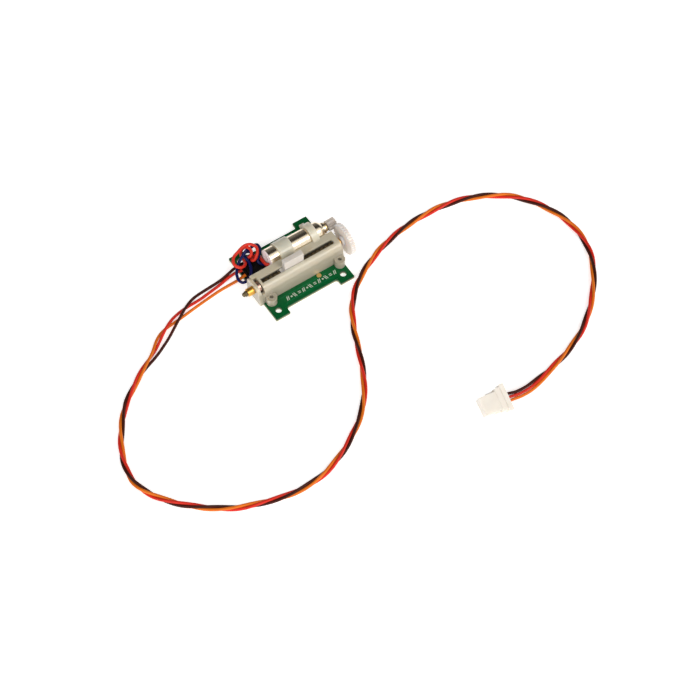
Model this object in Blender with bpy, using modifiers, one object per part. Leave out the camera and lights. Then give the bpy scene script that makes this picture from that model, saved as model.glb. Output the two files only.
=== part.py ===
"""Ultra-micro linear servo: a coreless motor turns a lead screw that drives a sliding nut.

The origin is under the middle of the servo, on the surface that the circuit board lies on.
+X runs along the lead screw towards the gears, +Z is up. The constants are in millimetres,
measured from the board's centre, and MM turns them into Blender's metres.
"""
import math

import bmesh
import bpy
import numpy as np
from mathutils import Matrix, Vector

MM = 0.001
COLLECTION = "linear_servo"
MERGE = 1e-7

# Where the board's centre lies, so that the servo's box is centred on the origin.
BOARD_X = 0.3

# Circuit board
BOARD_LENGTH = 18.4
BOARD_WIDTH = 14.7
BOARD_T = 0.8
EAR_LENGTH = 3.2
EAR_DEPTH = 1.4
EAR_FILLET = 0.6
MOUNT_HOLE_R = 0.65
MOUNT_HOLE_X = 7.65
MOUNT_HOLE_Y = 7.05
SKIN_GAP = 0.02

# Lead screw
SCREW_Y = -1.9
SCREW_Z = BOARD_T + 2.86
SCREW_LEAD = 1.0
THREAD_MEAN_R = 0.68
THREAD_DEPTH = 0.12
JOURNAL_R = 0.45
THREAD_X = (-8.1, 8.6)
SCREW_X = (-12.6, 12.0)
SCREW_HEAD_X = (-12.05, -11.7)
SCREW_HEAD_R = 0.6

# Gears
MODULE = 0.2
SPUR_TEETH = 33
PINION_TEETH = 9
PROFILE_SHIFT = 0.4
PRESSURE_ANGLE = math.radians(20)
BACKLASH = 0.03
GEAR_CENTRES = MODULE * (SPUR_TEETH + PINION_TEETH) / 2
GEAR_RISE = math.radians(9.7)
SPUR_X = (11.0, 12.0)
PINION_X = (9.95, 11.9)

# Motor
MOTOR_Y = SCREW_Y + GEAR_CENTRES * math.cos(GEAR_RISE)
MOTOR_Z = SCREW_Z + GEAR_CENTRES * math.sin(GEAR_RISE)
CAN_R = 2.0
CAN_WALL = 0.2
CAN_X = (-4.12, 8.75)
CAP_X = (-4.25, -3.6)
SHAFT_R = 0.3

# Moulded frame
FRAME_X = (-10.15, 9.75)
FRAME_TOP = BOARD_T + 4.4
FRAME_BACK_Y = 0.3
FRAME_BASE = BOARD_T + SKIN_GAP
CHANNEL_X = (-8.2, 8.85)
SLOT_X = (-8.2, 8.7)
SLOT_WIDTH = 1.2
POCKET_X = (-9.5, -8.65)
BOSSES = ((-7.75, -4.75), (8.35, -4.8))
BOSS_R = 1.1
BOSS_H = 1.9
BUSH_R = 0.7

# Slider
POST_X = (-3.0, 1.4)
POST_WIDTH = 1.06
POST_TOP = BOARD_T + 6.7
NUT_X = (-3.7, 1.6)

# Leads
LEAD_R = 0.3
MOTOR_LEAD_R = 0.27
BUNDLE_R = 0.65
SOLDER_X = -8.62
SOLDER_Y = {"signal": 3.2, "power": 4.5, "ground": 5.8}

# Connector
PLUG_REAR = (17.0, -49.1, 2.5)
PLUG_YAW = math.radians(172)
PLUG_ROLL = math.radians(-21)
PLUG_LENGTH = 5.6
PIN_PITCH = 1.0

# Leads of the motor, which stand in loops over the left end of the board.
MOTOR_LEAD_RED = [
    (-4.27, 1.45, 3.65), (-4.56, 1.5, 3.63), (-4.76, 1.78, 3.52), (-4.72, 2.51, 3.25),
    (-4.58, 3.72, 2.75), (-4.26, 4.84, 2.2), (-4.49, 5.55, 2.05), (-5.2, 5.62, 2.1),
    (-5.87, 5.37, 2.2), (-6.21, 4.63, 2.65), (-5.86, 4.29, 3.1), (-5.31, 4.45, 3.6),
    (-4.77, 4.89, 4.1), (-4.43, 5.7, 4.4), (-4.66, 6.49, 4.5), (-5.23, 7.14, 4.5),
    (-6.09, 7.4, 4.5), (-7.06, 7.29, 4.4), (-8.14, 6.92, 4.3), (-9.12, 6.58, 4.2),
    (-9.78, 5.98, 4.1), (-10.13, 5.22, 4), (-9.97, 4.5, 3.8), (-9.4, 4.05, 3.5), (-8.6, 4.11, 3.1),
    (-7.79, 4.74, 2.6), (-7.49, 5.66, 2.15), (-7.3, 6.62, 2), (-7.19, 7.34, 2.2), (-6.9, 7.67, 2.8),
    (-6.41, 7.66, 3.4), (-5.9, 7.24, 3.92), (-5.59, 6.5, 4.1), (-5.67, 5.68, 4), (-6.09, 5.24, 3.7),
    (-6.39, 5.31, 3.3), (-6.37, 5.64, 2.75), (-6.17, 6.17, 1.9), (-5.98, 6.51, 1.2),
]
MOTOR_LEAD_BLUE = [
    (-4.27, 2.6, 2.6), (-4.6, 2.66, 2.55), (-4.68, 2.76, 2.35), (-4.93, 3.16, 2.18),
    (-5.17, 3.68, 2.15), (-5.2, 4.19, 2.4), (-4.86, 4.45, 2.95), (-4.41, 4.85, 3.35),
    (-3.95, 5.3, 3.6), (-3.68, 5.92, 3.8), (-3.74, 6.68, 3.7), (-4.16, 7.05, 3.4),
    (-4.76, 7.05, 3.3), (-5.4, 6.99, 3.3), (-6.15, 6.86, 3.45), (-6.95, 6.55, 3.3),
    (-7.8, 6.07, 3.15), (-8.61, 5.65, 2.95), (-9.35, 5.1, 2.75), (-10, 4.41, 2.55),
    (-10.51, 3.64, 2.35), (-10.8, 2.55, 2.15), (-10.47, 1.64, 2.05), (-9.55, 1.53, 1.98),
    (-8.53, 1.97, 1.98), (-7.74, 2.71, 2), (-7.24, 3.58, 2.1), (-6.96, 4.43, 2.2),
    (-6.88, 5.19, 2.35), (-6.91, 5.81, 2.55), (-6.9, 6.55, 2.6), (-6.51, 6.97, 2.7),
    (-5.92, 7, 2.65), (-5.46, 6.75, 2.5), (-5.13, 6.56, 2.1), (-4.98, 6.44, 1.65),
    (-4.96, 6.34, 1.2),
]
# The three lead wires from their solder joints to where the regular twist starts.
GROUND_WIRE = [
    (-8.75, 5.8, 1.45), (-10.6, 5.7, 1.3), (-12.6, 5.2, 0.95), (-14.2, 5.3, 0.5), (-16.0, 5.3, 0.35),
    (-18.0, 5.1, 0.45), (-20.0, 4.8, 0.75), (-21.5, 4.1, 1.05), (-22.8, 3.4, 1.1), (-24.2, 2.5, 1.1),
    (-25.5, 1.7, 1.0), (-26.9, 0.9, 0.7), (-28.8, -0.3, 0.35), (-30.9, -1.4, 0.32), (-33.0, -2.5, 0.32),
]
POWER_WIRE = [
    (-8.75, 4.5, 1.45), (-10.9, 4.95, 1.2), (-12.7, 4.75, 0.7), (-14.6, 4.5, 0.35), (-16.3, 4.4, 0.32),
    (-18.3, 4.0, 0.32), (-20.0, 3.9, 0.32), (-21.6, 3.9, 0.32), (-23.0, 3.8, 0.32), (-24.5, 3.6, 0.32),
    (-26.0, 3.0, 0.6), (-27.5, 2.2, 0.95), (-28.6, 1.4, 1.0), (-29.8, 0.6, 0.9), (-31.2, -0.4, 0.6),
    (-32.7, -1.4, 0.38),
]
SIGNAL_WIRE = [
    (-8.75, 3.2, 1.45), (-10.7, 3.2, 0.95), (-12.8, 3.5, 0.5), (-15.3, 3.5, 0.32), (-17.0, 3.3, 0.32),
    (-18.8, 3.1, 0.32), (-20.6, 2.9, 0.32), (-22.4, 2.6, 0.32), (-24.1, 2.4, 0.32), (-25.6, 2.2, 0.32),
    (-26.9, 2.1, 0.32), (-28.2, 2.0, 0.32), (-29.5, 1.7, 0.32), (-30.7, 0.9, 0.45), (-31.8, 0.0, 0.9),
    (-33.0, -1.4, 1.0),
]
# The middle line of the twisted lead, which lies on the surface as far as the connector.
BUNDLE_ROUTE = [
    (-33.5, -2.1, 0.66), (-37.0, -3.9, 0.66), (-40.6, -6.3, 0.66), (-43.8, -8.8, 0.66),
    (-46.2, -11.5, 0.66), (-48.5, -14.9, 0.66), (-50.4, -18.9, 0.66), (-51.2, -23.6, 0.66),
    (-49.9, -28.0, 0.66), (-46.8, -32.4, 0.66), (-42.7, -36.3, 0.66), (-38.5, -39.2, 0.66),
    (-33.9, -41.1, 0.66), (-27.8, -42.7, 0.66), (-21.6, -42.7, 0.66), (-16.3, -41.1, 0.66),
    (-11.6, -38.6, 0.66), (-7.4, -35.5, 0.66), (-4.4, -32.1, 0.66), (-2.3, -28.8, 0.66),
    (-0.3, -24.7, 0.66), (2.0, -19.3, 0.66), (4.5, -14.9, 0.66), (7.4, -11.6, 0.66),
    (11.4, -8.8, 0.66), (16.9, -6.3, 0.66), (22.8, -4.8, 0.66), (28.5, -4.3, 0.66),
    (33.8, -4.6, 0.66), (38.5, -5.7, 0.66), (42.8, -7.7, 0.66), (46.8, -10.7, 0.66),
    (50.0, -15.2, 0.66), (52.0, -20.5, 0.66), (52.4, -25.7, 0.66), (51.2, -30.8, 0.66),
    (48.3, -35.6, 0.66), (44.1, -40.2, 0.66), (39.1, -44.0, 0.66), (33.5, -46.5, 0.66),
    (28.0, -48.0, 0.70), (23.0, -49.2, 1.20), (19.7, -49.6, 2.10), (17.6, -49.3, 2.50),
]

COLOURS = {
    "solder_mask": ((0.01, 0.16, 0.06), 0.35, 0.0),
    "nylon": ((0.72, 0.68, 0.58), 0.45, 0.0),
    "white_nylon": ((0.85, 0.82, 0.78), 0.4, 0.0),
    "steel": ((0.75, 0.72, 0.66), 0.2, 1.0),
    "brass": ((0.85, 0.62, 0.22), 0.3, 1.0),
    "copper": ((0.83, 0.5, 0.38), 0.35, 1.0),
    "gold": ((0.9, 0.66, 0.3), 0.35, 1.0),
    "magnet": ((0.35, 0.35, 0.37), 0.4, 1.0),
    "carbon": ((0.02, 0.02, 0.02), 0.6, 0.0),
    "black_epoxy": ((0.01, 0.01, 0.01), 0.4, 0.0),
    "ceramic": ((0.45, 0.3, 0.2), 0.5, 0.0),
    "solder": ((0.7, 0.7, 0.72), 0.3, 1.0),
    "wire_red": ((0.8, 0.06, 0.03), 0.4, 0.0),
    "wire_blue": ((0.01, 0.02, 0.2), 0.4, 0.0),
    "wire_brown": ((0.1, 0.02, 0.01), 0.4, 0.0),
    "wire_orange": ((0.9, 0.3, 0.02), 0.4, 0.0),
}


# ---------------------------------------------------------------- scene helpers

def clear_scene():
    for obj in list(bpy.data.objects):
        bpy.data.objects.remove(obj, do_unlink=True)


def collection(name):
    found = bpy.data.collections.new(name)
    bpy.context.scene.collection.children.link(found)
    return found


def material(name):
    found = bpy.data.materials.get(name)
    if found:
        return found
    colour, roughness, metallic = COLOURS[name]
    made = bpy.data.materials.new(name)
    made.use_nodes = True
    shader = made.node_tree.nodes["Principled BSDF"]
    shader.inputs["Base Color"].default_value = (*colour, 1)
    shader.inputs["Roughness"].default_value = roughness
    shader.inputs["Metallic"].default_value = metallic
    return made


def place(x, y, z):
    """A point given from the board's centre in millimetres, as metres from the origin."""
    return Vector(((x + BOARD_X) * MM, y * MM, z * MM))


def add(name, data, colour, matrix=None, cutter=False):
    """A new object in the servo's collection, or in the cutters' one."""
    obj = bpy.data.objects.new(name, data)
    (CUTTERS if cutter else PARTS).objects.link(obj)
    if matrix is not None:
        obj.matrix_world = matrix
    if cutter:
        obj.hide_render = True
        obj.display_type = "WIRE"
    else:
        data.materials.append(material(colour))
    return obj


def mesh_from(name, build):
    """A mesh filled by build(bm)."""
    bm = bmesh.new()
    build(bm)
    data = bpy.data.meshes.new(name)
    bm.to_mesh(data)
    bm.free()
    return data


def box(name, low, high, colour=None, bevel=0.0, cutter=False):
    """A block between two corners, with its own edges rounded by bevel."""
    low, high = np.array(low, float), np.array(high, float)
    data = mesh_from(name, lambda bm: bmesh.ops.create_cube(bm, size=1.0))
    data.transform(Matrix.Diagonal((*(high - low) * MM, 1)))
    obj = add(name, data, colour, Matrix.Translation(place(*(low + high) / 2)), cutter)
    if bevel:
        mod = obj.modifiers.new("Bevel", "BEVEL")
        mod.width = bevel * MM
        mod.segments = 2
    return obj


def along_x(x, y, z):
    """A frame whose local Z runs along +X from this point."""
    return Matrix.Translation(place(x, y, z)) @ Matrix.Rotation(math.pi / 2, 4, "Y")


def rod(name, x_range, y, z, radius, colour=None, sides=32, cutter=False):
    """A cylinder along X."""
    length = x_range[1] - x_range[0]

    def build(bm):
        bmesh.ops.create_cone(bm, cap_ends=True, segments=sides, radius1=radius * MM,
                              radius2=radius * MM, depth=length * MM)

    obj = add(name, mesh_from(name, build), colour, along_x(sum(x_range) / 2, y, z), cutter)
    smooth(obj)
    return obj


def post(name, x, y, z_range, radius, colour=None, sides=24, cutter=False):
    """A cylinder along Z."""

    def build(bm):
        bmesh.ops.create_cone(bm, cap_ends=True, segments=sides, radius1=radius * MM,
                              radius2=radius * MM, depth=(z_range[1] - z_range[0]) * MM)

    matrix = Matrix.Translation(place(x, y, sum(z_range) / 2))
    obj = add(name, mesh_from(name, build), colour, matrix, cutter)
    smooth(obj)
    return obj


def smooth(obj):
    obj.data.shade_smooth()
    obj.data.set_sharp_from_angle(angle=math.radians(35))


def turned(name, outline, y, z, colour, sides=32):
    """A ring or disc turned about an axis along X.

    outline is (x, radius) pairs: the outside from high x to low x, then the bore back again.
    """

    def build(bm):
        verts = [bm.verts.new((r * MM, 0, x * MM)) for x, r in outline]
        for a, b in zip(verts, verts[1:] + verts[:1]):
            bm.edges.new((a, b))

    obj = add(name, mesh_from(name, build), colour, along_x(0, y, z))
    mod = obj.modifiers.new("Turn", "SCREW")
    mod.axis = "Z"
    mod.steps = sides
    mod.render_steps = sides
    mod.use_merge_vertices = True
    mod.merge_threshold = MERGE
    mod.use_smooth_shade = False
    return obj


def plate(name, outline, holes, depth, matrix, colour=None, cutter=False):
    """A flat outline, less its holes, with this depth along the matrix's Z."""
    curve = bpy.data.curves.new(name, "CURVE")
    curve.dimensions = "2D"
    curve.fill_mode = "BOTH"
    curve.extrude = depth / 2 * MM
    for ring in [outline, *holes]:
        spline = curve.splines.new("POLY")
        spline.points.add(len(ring) - 1)
        for point, (u, v) in zip(spline.points, ring):
            point.co = (u * MM, v * MM, 0, 1)
        spline.use_cyclic_u = True
    return add(name, curve, colour, matrix, cutter)


def as_mesh(obj):
    """The curve object as a welded mesh object of the same name, place and material."""
    name, matrix, cutter = obj.name, obj.matrix_world.copy(), obj.display_type == "WIRE"
    bpy.context.view_layer.update()
    depsgraph = bpy.context.evaluated_depsgraph_get()
    data = bpy.data.meshes.new_from_object(obj.evaluated_get(depsgraph))
    colour = obj.data.materials[0].name if obj.data.materials else None
    bm = bmesh.new()
    bm.from_mesh(data)
    bmesh.ops.remove_doubles(bm, verts=bm.verts, dist=MERGE)
    bmesh.ops.recalc_face_normals(bm, faces=bm.faces)
    bm.to_mesh(data)
    bm.free()
    data.materials.clear()
    bpy.data.objects.remove(obj, do_unlink=True)
    return add(name, data, colour, matrix, cutter)


def boolean(obj, operation, *tools):
    for tool in tools:
        mod = obj.modifiers.new(f"{operation}_{tool.name}", "BOOLEAN")
        mod.operation = operation
        mod.solver = "EXACT"
        mod.object = tool
    return obj


def arc(cx, cy, radius, start, end, steps):
    """Points on an arc, with its angles in degrees."""
    angles = np.radians(np.linspace(start, end, steps + 1))
    return [(cx + radius * math.cos(a), cy + radius * math.sin(a)) for a in angles]


def circle(cx, cy, radius, sides=24):
    return arc(cx, cy, radius, 0, 360, sides)[:-1]


def cross_section(x):
    """A frame at this x whose local X, Y and Z are world Y, Z and X."""
    return Matrix.Translation(place(x, 0, 0)) @ Matrix(
        ((0, 0, 1, 0), (1, 0, 0, 0), (0, 1, 0, 0), (0, 0, 0, 1)))


def smooth_line(points, spacing):
    """Points at an even spacing on the smooth curve through the given ones."""
    p = np.array(points, float)
    p = np.vstack([2 * p[0] - p[1], p, 2 * p[-1] - p[-2]])
    fine = []
    for a, b, c, d in zip(p, p[1:], p[2:], p[3:]):
        for t in np.linspace(0, 1, 16, endpoint=False):
            fine.append(0.5 * (2 * b + (c - a) * t + (2 * a - 5 * b + 4 * c - d) * t**2
                               + (3 * b - a - 3 * c + d) * t**3))
    fine = np.array([*fine, p[-2]])
    along = np.concatenate([[0], np.cumsum(np.linalg.norm(np.diff(fine, axis=0), axis=1))])
    at = np.linspace(0, along[-1], max(2, round(along[-1] / spacing) + 1))
    return np.stack([np.interp(at, along, fine[:, k]) for k in range(3)], axis=1)


def tube(name, points, radius, spacing, colour):
    """A round wire through the points, with a flat cap at each end."""
    curve = bpy.data.curves.new(name, "CURVE")
    curve.dimensions = "3D"
    curve.bevel_depth = radius * MM
    curve.bevel_resolution = 2
    curve.use_fill_caps = True
    line = smooth_line(points, spacing)
    spline = curve.splines.new("POLY")
    spline.points.add(len(line) - 1)
    for point, at in zip(spline.points, line):
        point.co = (*place(*at), 1)
    return add(name, curve, colour)


# ---------------------------------------------------------------- circuit board

def board_outline():
    """The board with an ear at each corner, and a small fillet inside each ear."""
    half_x, half_y = BOARD_LENGTH / 2, BOARD_WIDTH / 2
    inner = half_x - EAR_LENGTH
    quarter = arc(inner - EAR_FILLET, half_y + EAR_FILLET, EAR_FILLET, 270, 360, 4)
    quarter += [(inner, half_y + EAR_DEPTH), (half_x, half_y + EAR_DEPTH)]
    right = [(x, -y) for x, y in quarter] + quarter[::-1]
    left = [(-x, -y) for x, y in right]
    return right + left


def circuit_board():
    holes = [circle(sx * MOUNT_HOLE_X, sy * MOUNT_HOLE_Y, MOUNT_HOLE_R)
             for sx in (-1, 1) for sy in (-1, 1)]
    plate("circuit_board", board_outline(), holes, BOARD_T,
          Matrix.Translation(place(0, 0, BOARD_T / 2)), "solder_mask")


def board_parts():
    """The chip, passives, potentiometer tracks and solder joints on the board."""
    base = BOARD_T + SKIN_GAP
    box("control_chip", (-7.95, 0.85, base), (-3.95, 5.2, base + 0.85), "black_epoxy", 0.05)
    box("bridge_chip", (2.3, 2.6, base), (4.6, 5.4, base + 0.75), "black_epoxy", 0.05)
    box("bypass_capacitor", (-1.0, 5.1, base), (0.6, 5.9, base + 0.6), "ceramic", 0.04)
    box("filter_capacitor", (1.6, 6.1, base), (2.6, 6.6, base + 0.45), "ceramic", 0.03)
    box("timing_resistor", (3.4, 6.1, base), (4.4, 6.6, base + 0.3), "black_epoxy", 0.03)
    box("resistive_track", (-7.9, -3.3, base), (8.6, -2.3, base + 0.04), "carbon")
    box("collector_track", (-7.9, -1.5, base), (8.6, -0.7, base + 0.04), "gold")
    post("track_pad", 3.4, -4.75, (base, base + 0.1), 0.5, "gold", 16)
    for lead, y in SOLDER_Y.items():
        solder_joint(f"solder_{lead}", SOLDER_X, y, 0.5)
    solder_joint("solder_motor_red", MOTOR_LEAD_RED[-1][0], MOTOR_LEAD_RED[-1][1], 0.45)
    solder_joint("solder_motor_blue", MOTOR_LEAD_BLUE[-1][0], MOTOR_LEAD_BLUE[-1][1], 0.45)


def solder_joint(name, x, y, radius):
    """A low mound of solder on its pad, just under the wire that it holds."""
    low = BOARD_T + SKIN_GAP

    def build(bm):
        bmesh.ops.create_cone(bm, cap_ends=True, segments=16, radius1=radius * MM,
                              radius2=0.55 * radius * MM, depth=0.26 * MM)

    add(name, mesh_from(name, build), "solder", Matrix.Translation(place(x, y, low + 0.13)))


# ---------------------------------------------------------------- moulded frame

def screw_channel(clearance):
    """The outline, in Y and Z, of the nut's channel, shrunk by clearance."""
    front, back = -3.45 + clearance, -0.35 - clearance
    top = BOARD_T + 3.95 - clearance
    radius = 1.1 - clearance / 2
    return arc(front + radius, top - radius, radius, 90, 180, 5) + [
        (front, BOARD_T + 1.2), (back, BOARD_T + 1.2), (back, top)]


def tube_outline():
    """The screw tube's outside, in Y and Z: flat on top, round in front, sloping to the board."""
    return arc(-2.4, FRAME_TOP - 1.55, 1.55, 90, 170, 8) + [
        (-4.2, FRAME_BASE), (FRAME_BACK_Y, FRAME_BASE), (FRAME_BACK_Y, FRAME_TOP)]


def end_outline():
    """The rounded outline, in Y and Z, of the low wall at the left end."""
    return arc(-2.3, FRAME_TOP - 1.75, 1.75, 80, 175, 8) + [
        (-4.4, FRAME_BASE), (0.45, FRAME_BASE), (0.35, FRAME_TOP - 0.6), (-0.4, FRAME_TOP - 0.02)]


def motor_clip(name, x_range, outer_r):
    """A closed ring round the motor on a foot that stands on the board."""
    foot = 1.35
    half = math.degrees(math.asin(foot / outer_r))
    ring = arc(MOTOR_Y, MOTOR_Z, outer_r, -90 + half, 270 - half, 36)
    outline = ring + [(MOTOR_Y - foot, FRAME_BASE), (MOTOR_Y + foot, FRAME_BASE)]
    clip = plate(name, outline, [], x_range[1] - x_range[0],
                 cross_section(sum(x_range) / 2), None, True)
    return as_mesh(clip)


def main_frame():
    """One moulding: the screw tube, its end walls and bosses, and two clips for the motor."""
    tube_x = (-9.6, FRAME_X[1])
    frame = as_mesh(plate("main_frame", tube_outline(), [], tube_x[1] - tube_x[0],
                          cross_section(sum(tube_x) / 2), "nylon"))
    left_end = as_mesh(plate("left_end_wall", end_outline(), [], 0.75,
                             cross_section(FRAME_X[0] + 0.375), None, True))
    bosses = [post(f"boss_{i}", x, y, (FRAME_BASE, BOARD_T + BOSS_H), BOSS_R, cutter=True)
              for i, (x, y) in enumerate(BOSSES)]
    webs = [box(f"boss_web_{i}", (x - 0.8, y, FRAME_BASE), (x + 0.8, -3.0, BOARD_T + BOSS_H - 0.1),
                cutter=True) for i, (x, y) in enumerate(BOSSES)]
    rear_clip = motor_clip("rear_clip", (-2.0, 1.1), 2.35)
    front_clip = motor_clip("front_clip", (5.3, 6.8), 2.6)
    lug = rod("clip_lug", (5.2, 6.2), MOTOR_Y + 2.4, MOTOR_Z + 0.65, 0.45, sides=20, cutter=True)
    spine = box("clip_spine", (-2.0, -0.1, FRAME_BASE), (6.8, 1.2, BOARD_T + 1.5), cutter=True)
    boolean(frame, "UNION", left_end, *bosses, *webs, rear_clip, front_clip, lug, spine)

    channel_outline = screw_channel(0)[:-3] + [
        (-3.45, 0.0), (-0.35, 0.0), (-0.35, BOARD_T + 3.95)]
    channel = as_mesh(plate("channel", channel_outline, [], CHANNEL_X[1] - CHANNEL_X[0],
                            cross_section(sum(CHANNEL_X) / 2), None, True))
    slot = box("slot", (SLOT_X[0], SCREW_Y - SLOT_WIDTH / 2, BOARD_T + 3),
               (SLOT_X[1], SCREW_Y + SLOT_WIDTH / 2, BOARD_T + 6), cutter=True)
    pocket = box("collar_pocket", (POCKET_X[0], -5.0, SCREW_Z - 0.1),
                 (POCKET_X[1], -0.55, FRAME_TOP + 1), cutter=True)
    collar_room = rod("collar_room", POCKET_X, SCREW_Y, SCREW_Z, 1.4, cutter=True)
    bore = rod("bush_bore", (FRAME_X[0] - 1, FRAME_X[1] + 1), SCREW_Y, SCREW_Z, BUSH_R + 0.02,
               cutter=True)
    motor_room = rod("motor_room", (CAP_X[0] - 1, FRAME_X[1] + 1), MOTOR_Y, MOTOR_Z,
                     CAN_R + 0.04, sides=48, cutter=True)
    boss_holes = [post(f"boss_hole_{i}", x, y, (BOARD_T + BOSS_H - 0.7, BOARD_T + BOSS_H + 1), 0.42,
                       sides=16, cutter=True) for i, (x, y) in enumerate(BOSSES)]
    boolean(frame, "DIFFERENCE", channel, slot, pocket, collar_room, bore, motor_room, *boss_holes)


# ---------------------------------------------------------------- gears and screw

def involute(angle):
    return math.tan(angle) - angle


def gear_outline(teeth, shift, phase):
    """The outline of a spur gear, with a tooth's middle at the angle phase."""
    pitch_r = MODULE * teeth / 2
    base_r = pitch_r * math.cos(PRESSURE_ANGLE)
    tip_r = pitch_r + MODULE * (1 + shift)
    root_r = pitch_r - MODULE * (1.25 - shift)
    thickness = MODULE * (math.pi / 2 + 2 * shift * math.tan(PRESSURE_ANGLE)) - BACKLASH
    half_at_pitch = thickness / (2 * pitch_r)

    def half_angle(radius):
        angle = math.acos(min(1, base_r / max(radius, base_r)))
        return half_at_pitch + involute(PRESSURE_ANGLE) - involute(angle)

    flank = np.linspace(max(root_r, base_r), tip_r, 4)
    points = []
    for tooth in range(teeth):
        middle = phase + 2 * math.pi * tooth / teeth
        rising = [(r, middle - half_angle(r)) for r in (root_r, *flank)]
        falling = [(r, middle + half_angle(r)) for r in (*flank[::-1], root_r)]
        points += [(r * math.cos(a), r * math.sin(a)) for r, a in rising + falling]
    return points


def meshing_phase():
    """The pinion's phase when the spur gear has a tooth towards the pinion's axis."""
    towards_spur = math.pi + GEAR_RISE
    return towards_spur + math.pi / PINION_TEETH


def gear(name, teeth, shift, phase, x_range, y, z, bore, colour):
    outline = [(u + y, v + z) for u, v in gear_outline(teeth, shift, phase)]
    return plate(name, outline, [circle(y, z, bore, 20)], x_range[1] - x_range[0],
                 cross_section(sum(x_range) / 2), colour)


def lead_screw():
    """A round-threaded screw with a plain journal at each end, as one skin of rings."""
    sides, rings_per_turn = 12, 6
    count = round((THREAD_X[1] - THREAD_X[0]) / SCREW_LEAD * rings_per_turn)
    head = [(SCREW_HEAD_X[0], JOURNAL_R), (SCREW_HEAD_X[0], SCREW_HEAD_R),
            (SCREW_HEAD_X[1], SCREW_HEAD_R), (SCREW_HEAD_X[1], JOURNAL_R)]
    rings = [(SCREW_X[0], JOURNAL_R), *head, (THREAD_X[0] - 0.1, JOURNAL_R)]
    rings += [(x, None) for x in np.linspace(*THREAD_X, count + 1)]
    rings += [(THREAD_X[1] + 0.1, JOURNAL_R), (SCREW_X[1], JOURNAL_R)]

    def radius(x, plain, angle):
        if plain:
            return plain
        return THREAD_MEAN_R + THREAD_DEPTH * math.cos(angle - 2 * math.pi * x / SCREW_LEAD)

    def build(bm):
        loops = []
        for x, plain in rings:
            loop = []
            for k in range(sides):
                angle = 2 * math.pi * k / sides
                r = radius(x, plain, angle)
                loop.append(bm.verts.new((x * MM, r * math.cos(angle) * MM, r * math.sin(angle) * MM)))
            loops.append(loop)
        for a, b in zip(loops, loops[1:]):
            for k in range(sides):
                j = (k + 1) % sides
                bm.faces.new((a[k], a[j], b[j], b[k]))
        bm.faces.new(loops[0])
        bm.faces.new(loops[-1][::-1])
        bmesh.ops.recalc_face_normals(bm, faces=bm.faces)

    add("lead_screw", mesh_from("lead_screw", build), "steel",
        Matrix.Translation(place(0, SCREW_Y, SCREW_Z)))


def screw_parts():
    lead_screw()
    bore = JOURNAL_R + 0.02
    turned("thrust_collar", [(-8.78, 1.2), (-9.37, 1.2), (-9.37, bore), (-8.78, bore)],
           SCREW_Y, SCREW_Z, "copper", 28)
    gear("spur_gear", SPUR_TEETH, -PROFILE_SHIFT, GEAR_RISE, SPUR_X, SCREW_Y, SCREW_Z, bore,
         "white_nylon")
    turned("gear_hub", [(10.97, 1.1), (10.35, 1.1), (10.35, bore), (10.97, bore)],
           SCREW_Y, SCREW_Z, "white_nylon", 28)


def bushes():
    """The brass bush at each end, a flange outside the wall and a spigot in it."""
    bore = JOURNAL_R + 0.05
    left = [(-9.55, BUSH_R), (-10.2, BUSH_R), (-10.2, 0.85), (-11.5, 0.85), (-11.6, 0.75),
            (-11.6, bore), (-9.55, bore)]
    turned("left_bush", left, SCREW_Y, SCREW_Z, "brass", 24)
    right = [(10.2, bore), (10.2, 0.9), (9.8, 0.9), (9.8, BUSH_R), (8.9, BUSH_R), (8.9, bore)]
    turned("right_bush", right, SCREW_Y, SCREW_Z, "brass", 24)


# ---------------------------------------------------------------- slider

def slider():
    """The nut that runs in the channel, with the drive post that stands through the slot."""
    nut = as_mesh(plate("slider", screw_channel(0.07), [], NUT_X[1] - NUT_X[0],
                        cross_section(sum(NUT_X) / 2), "white_nylon"))
    half = POST_WIDTH / 2
    finger = box("slider_post", (POST_X[0], SCREW_Y - half, BOARD_T + 3.2),
                 (POST_X[1], SCREW_Y + half, POST_TOP), bevel=0.22, cutter=True)
    bore = rod("nut_bore", (NUT_X[0] - 1, NUT_X[1] + 1), SCREW_Y, SCREW_Z,
               THREAD_MEAN_R + THREAD_DEPTH + 0.05, sides=24, cutter=True)
    boolean(nut, "UNION", finger)
    boolean(nut, "DIFFERENCE", bore)


def wiper():
    """A sprung strip under the nut, with a finger down to each potentiometer track."""
    top = BOARD_T + 1.1
    touch = BOARD_T + 0.14
    ys = (-3.1, -2.5, -1.4, -0.8)
    columns = [(-2.9, top), (-0.2, top), (0.5, BOARD_T + 0.55), (1.2, touch), (1.5, touch + 0.12)]

    def build(bm):
        grid = [[bm.verts.new((x * MM, y * MM, z * MM)) for y in ys] for x, z in columns]
        for i in range(len(columns) - 1):
            for j in range(len(ys) - 1):
                if i == 0 or j != 1:
                    bm.faces.new((grid[i][j], grid[i + 1][j], grid[i + 1][j + 1], grid[i][j + 1]))

    obj = add("wiper", mesh_from("wiper", build), "copper", Matrix.Translation(place(0, 0, 0)))
    mod = obj.modifiers.new("Solidify", "SOLIDIFY")
    mod.thickness = 0.07 * MM
    mod.offset = 0


# ---------------------------------------------------------------- motor

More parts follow.
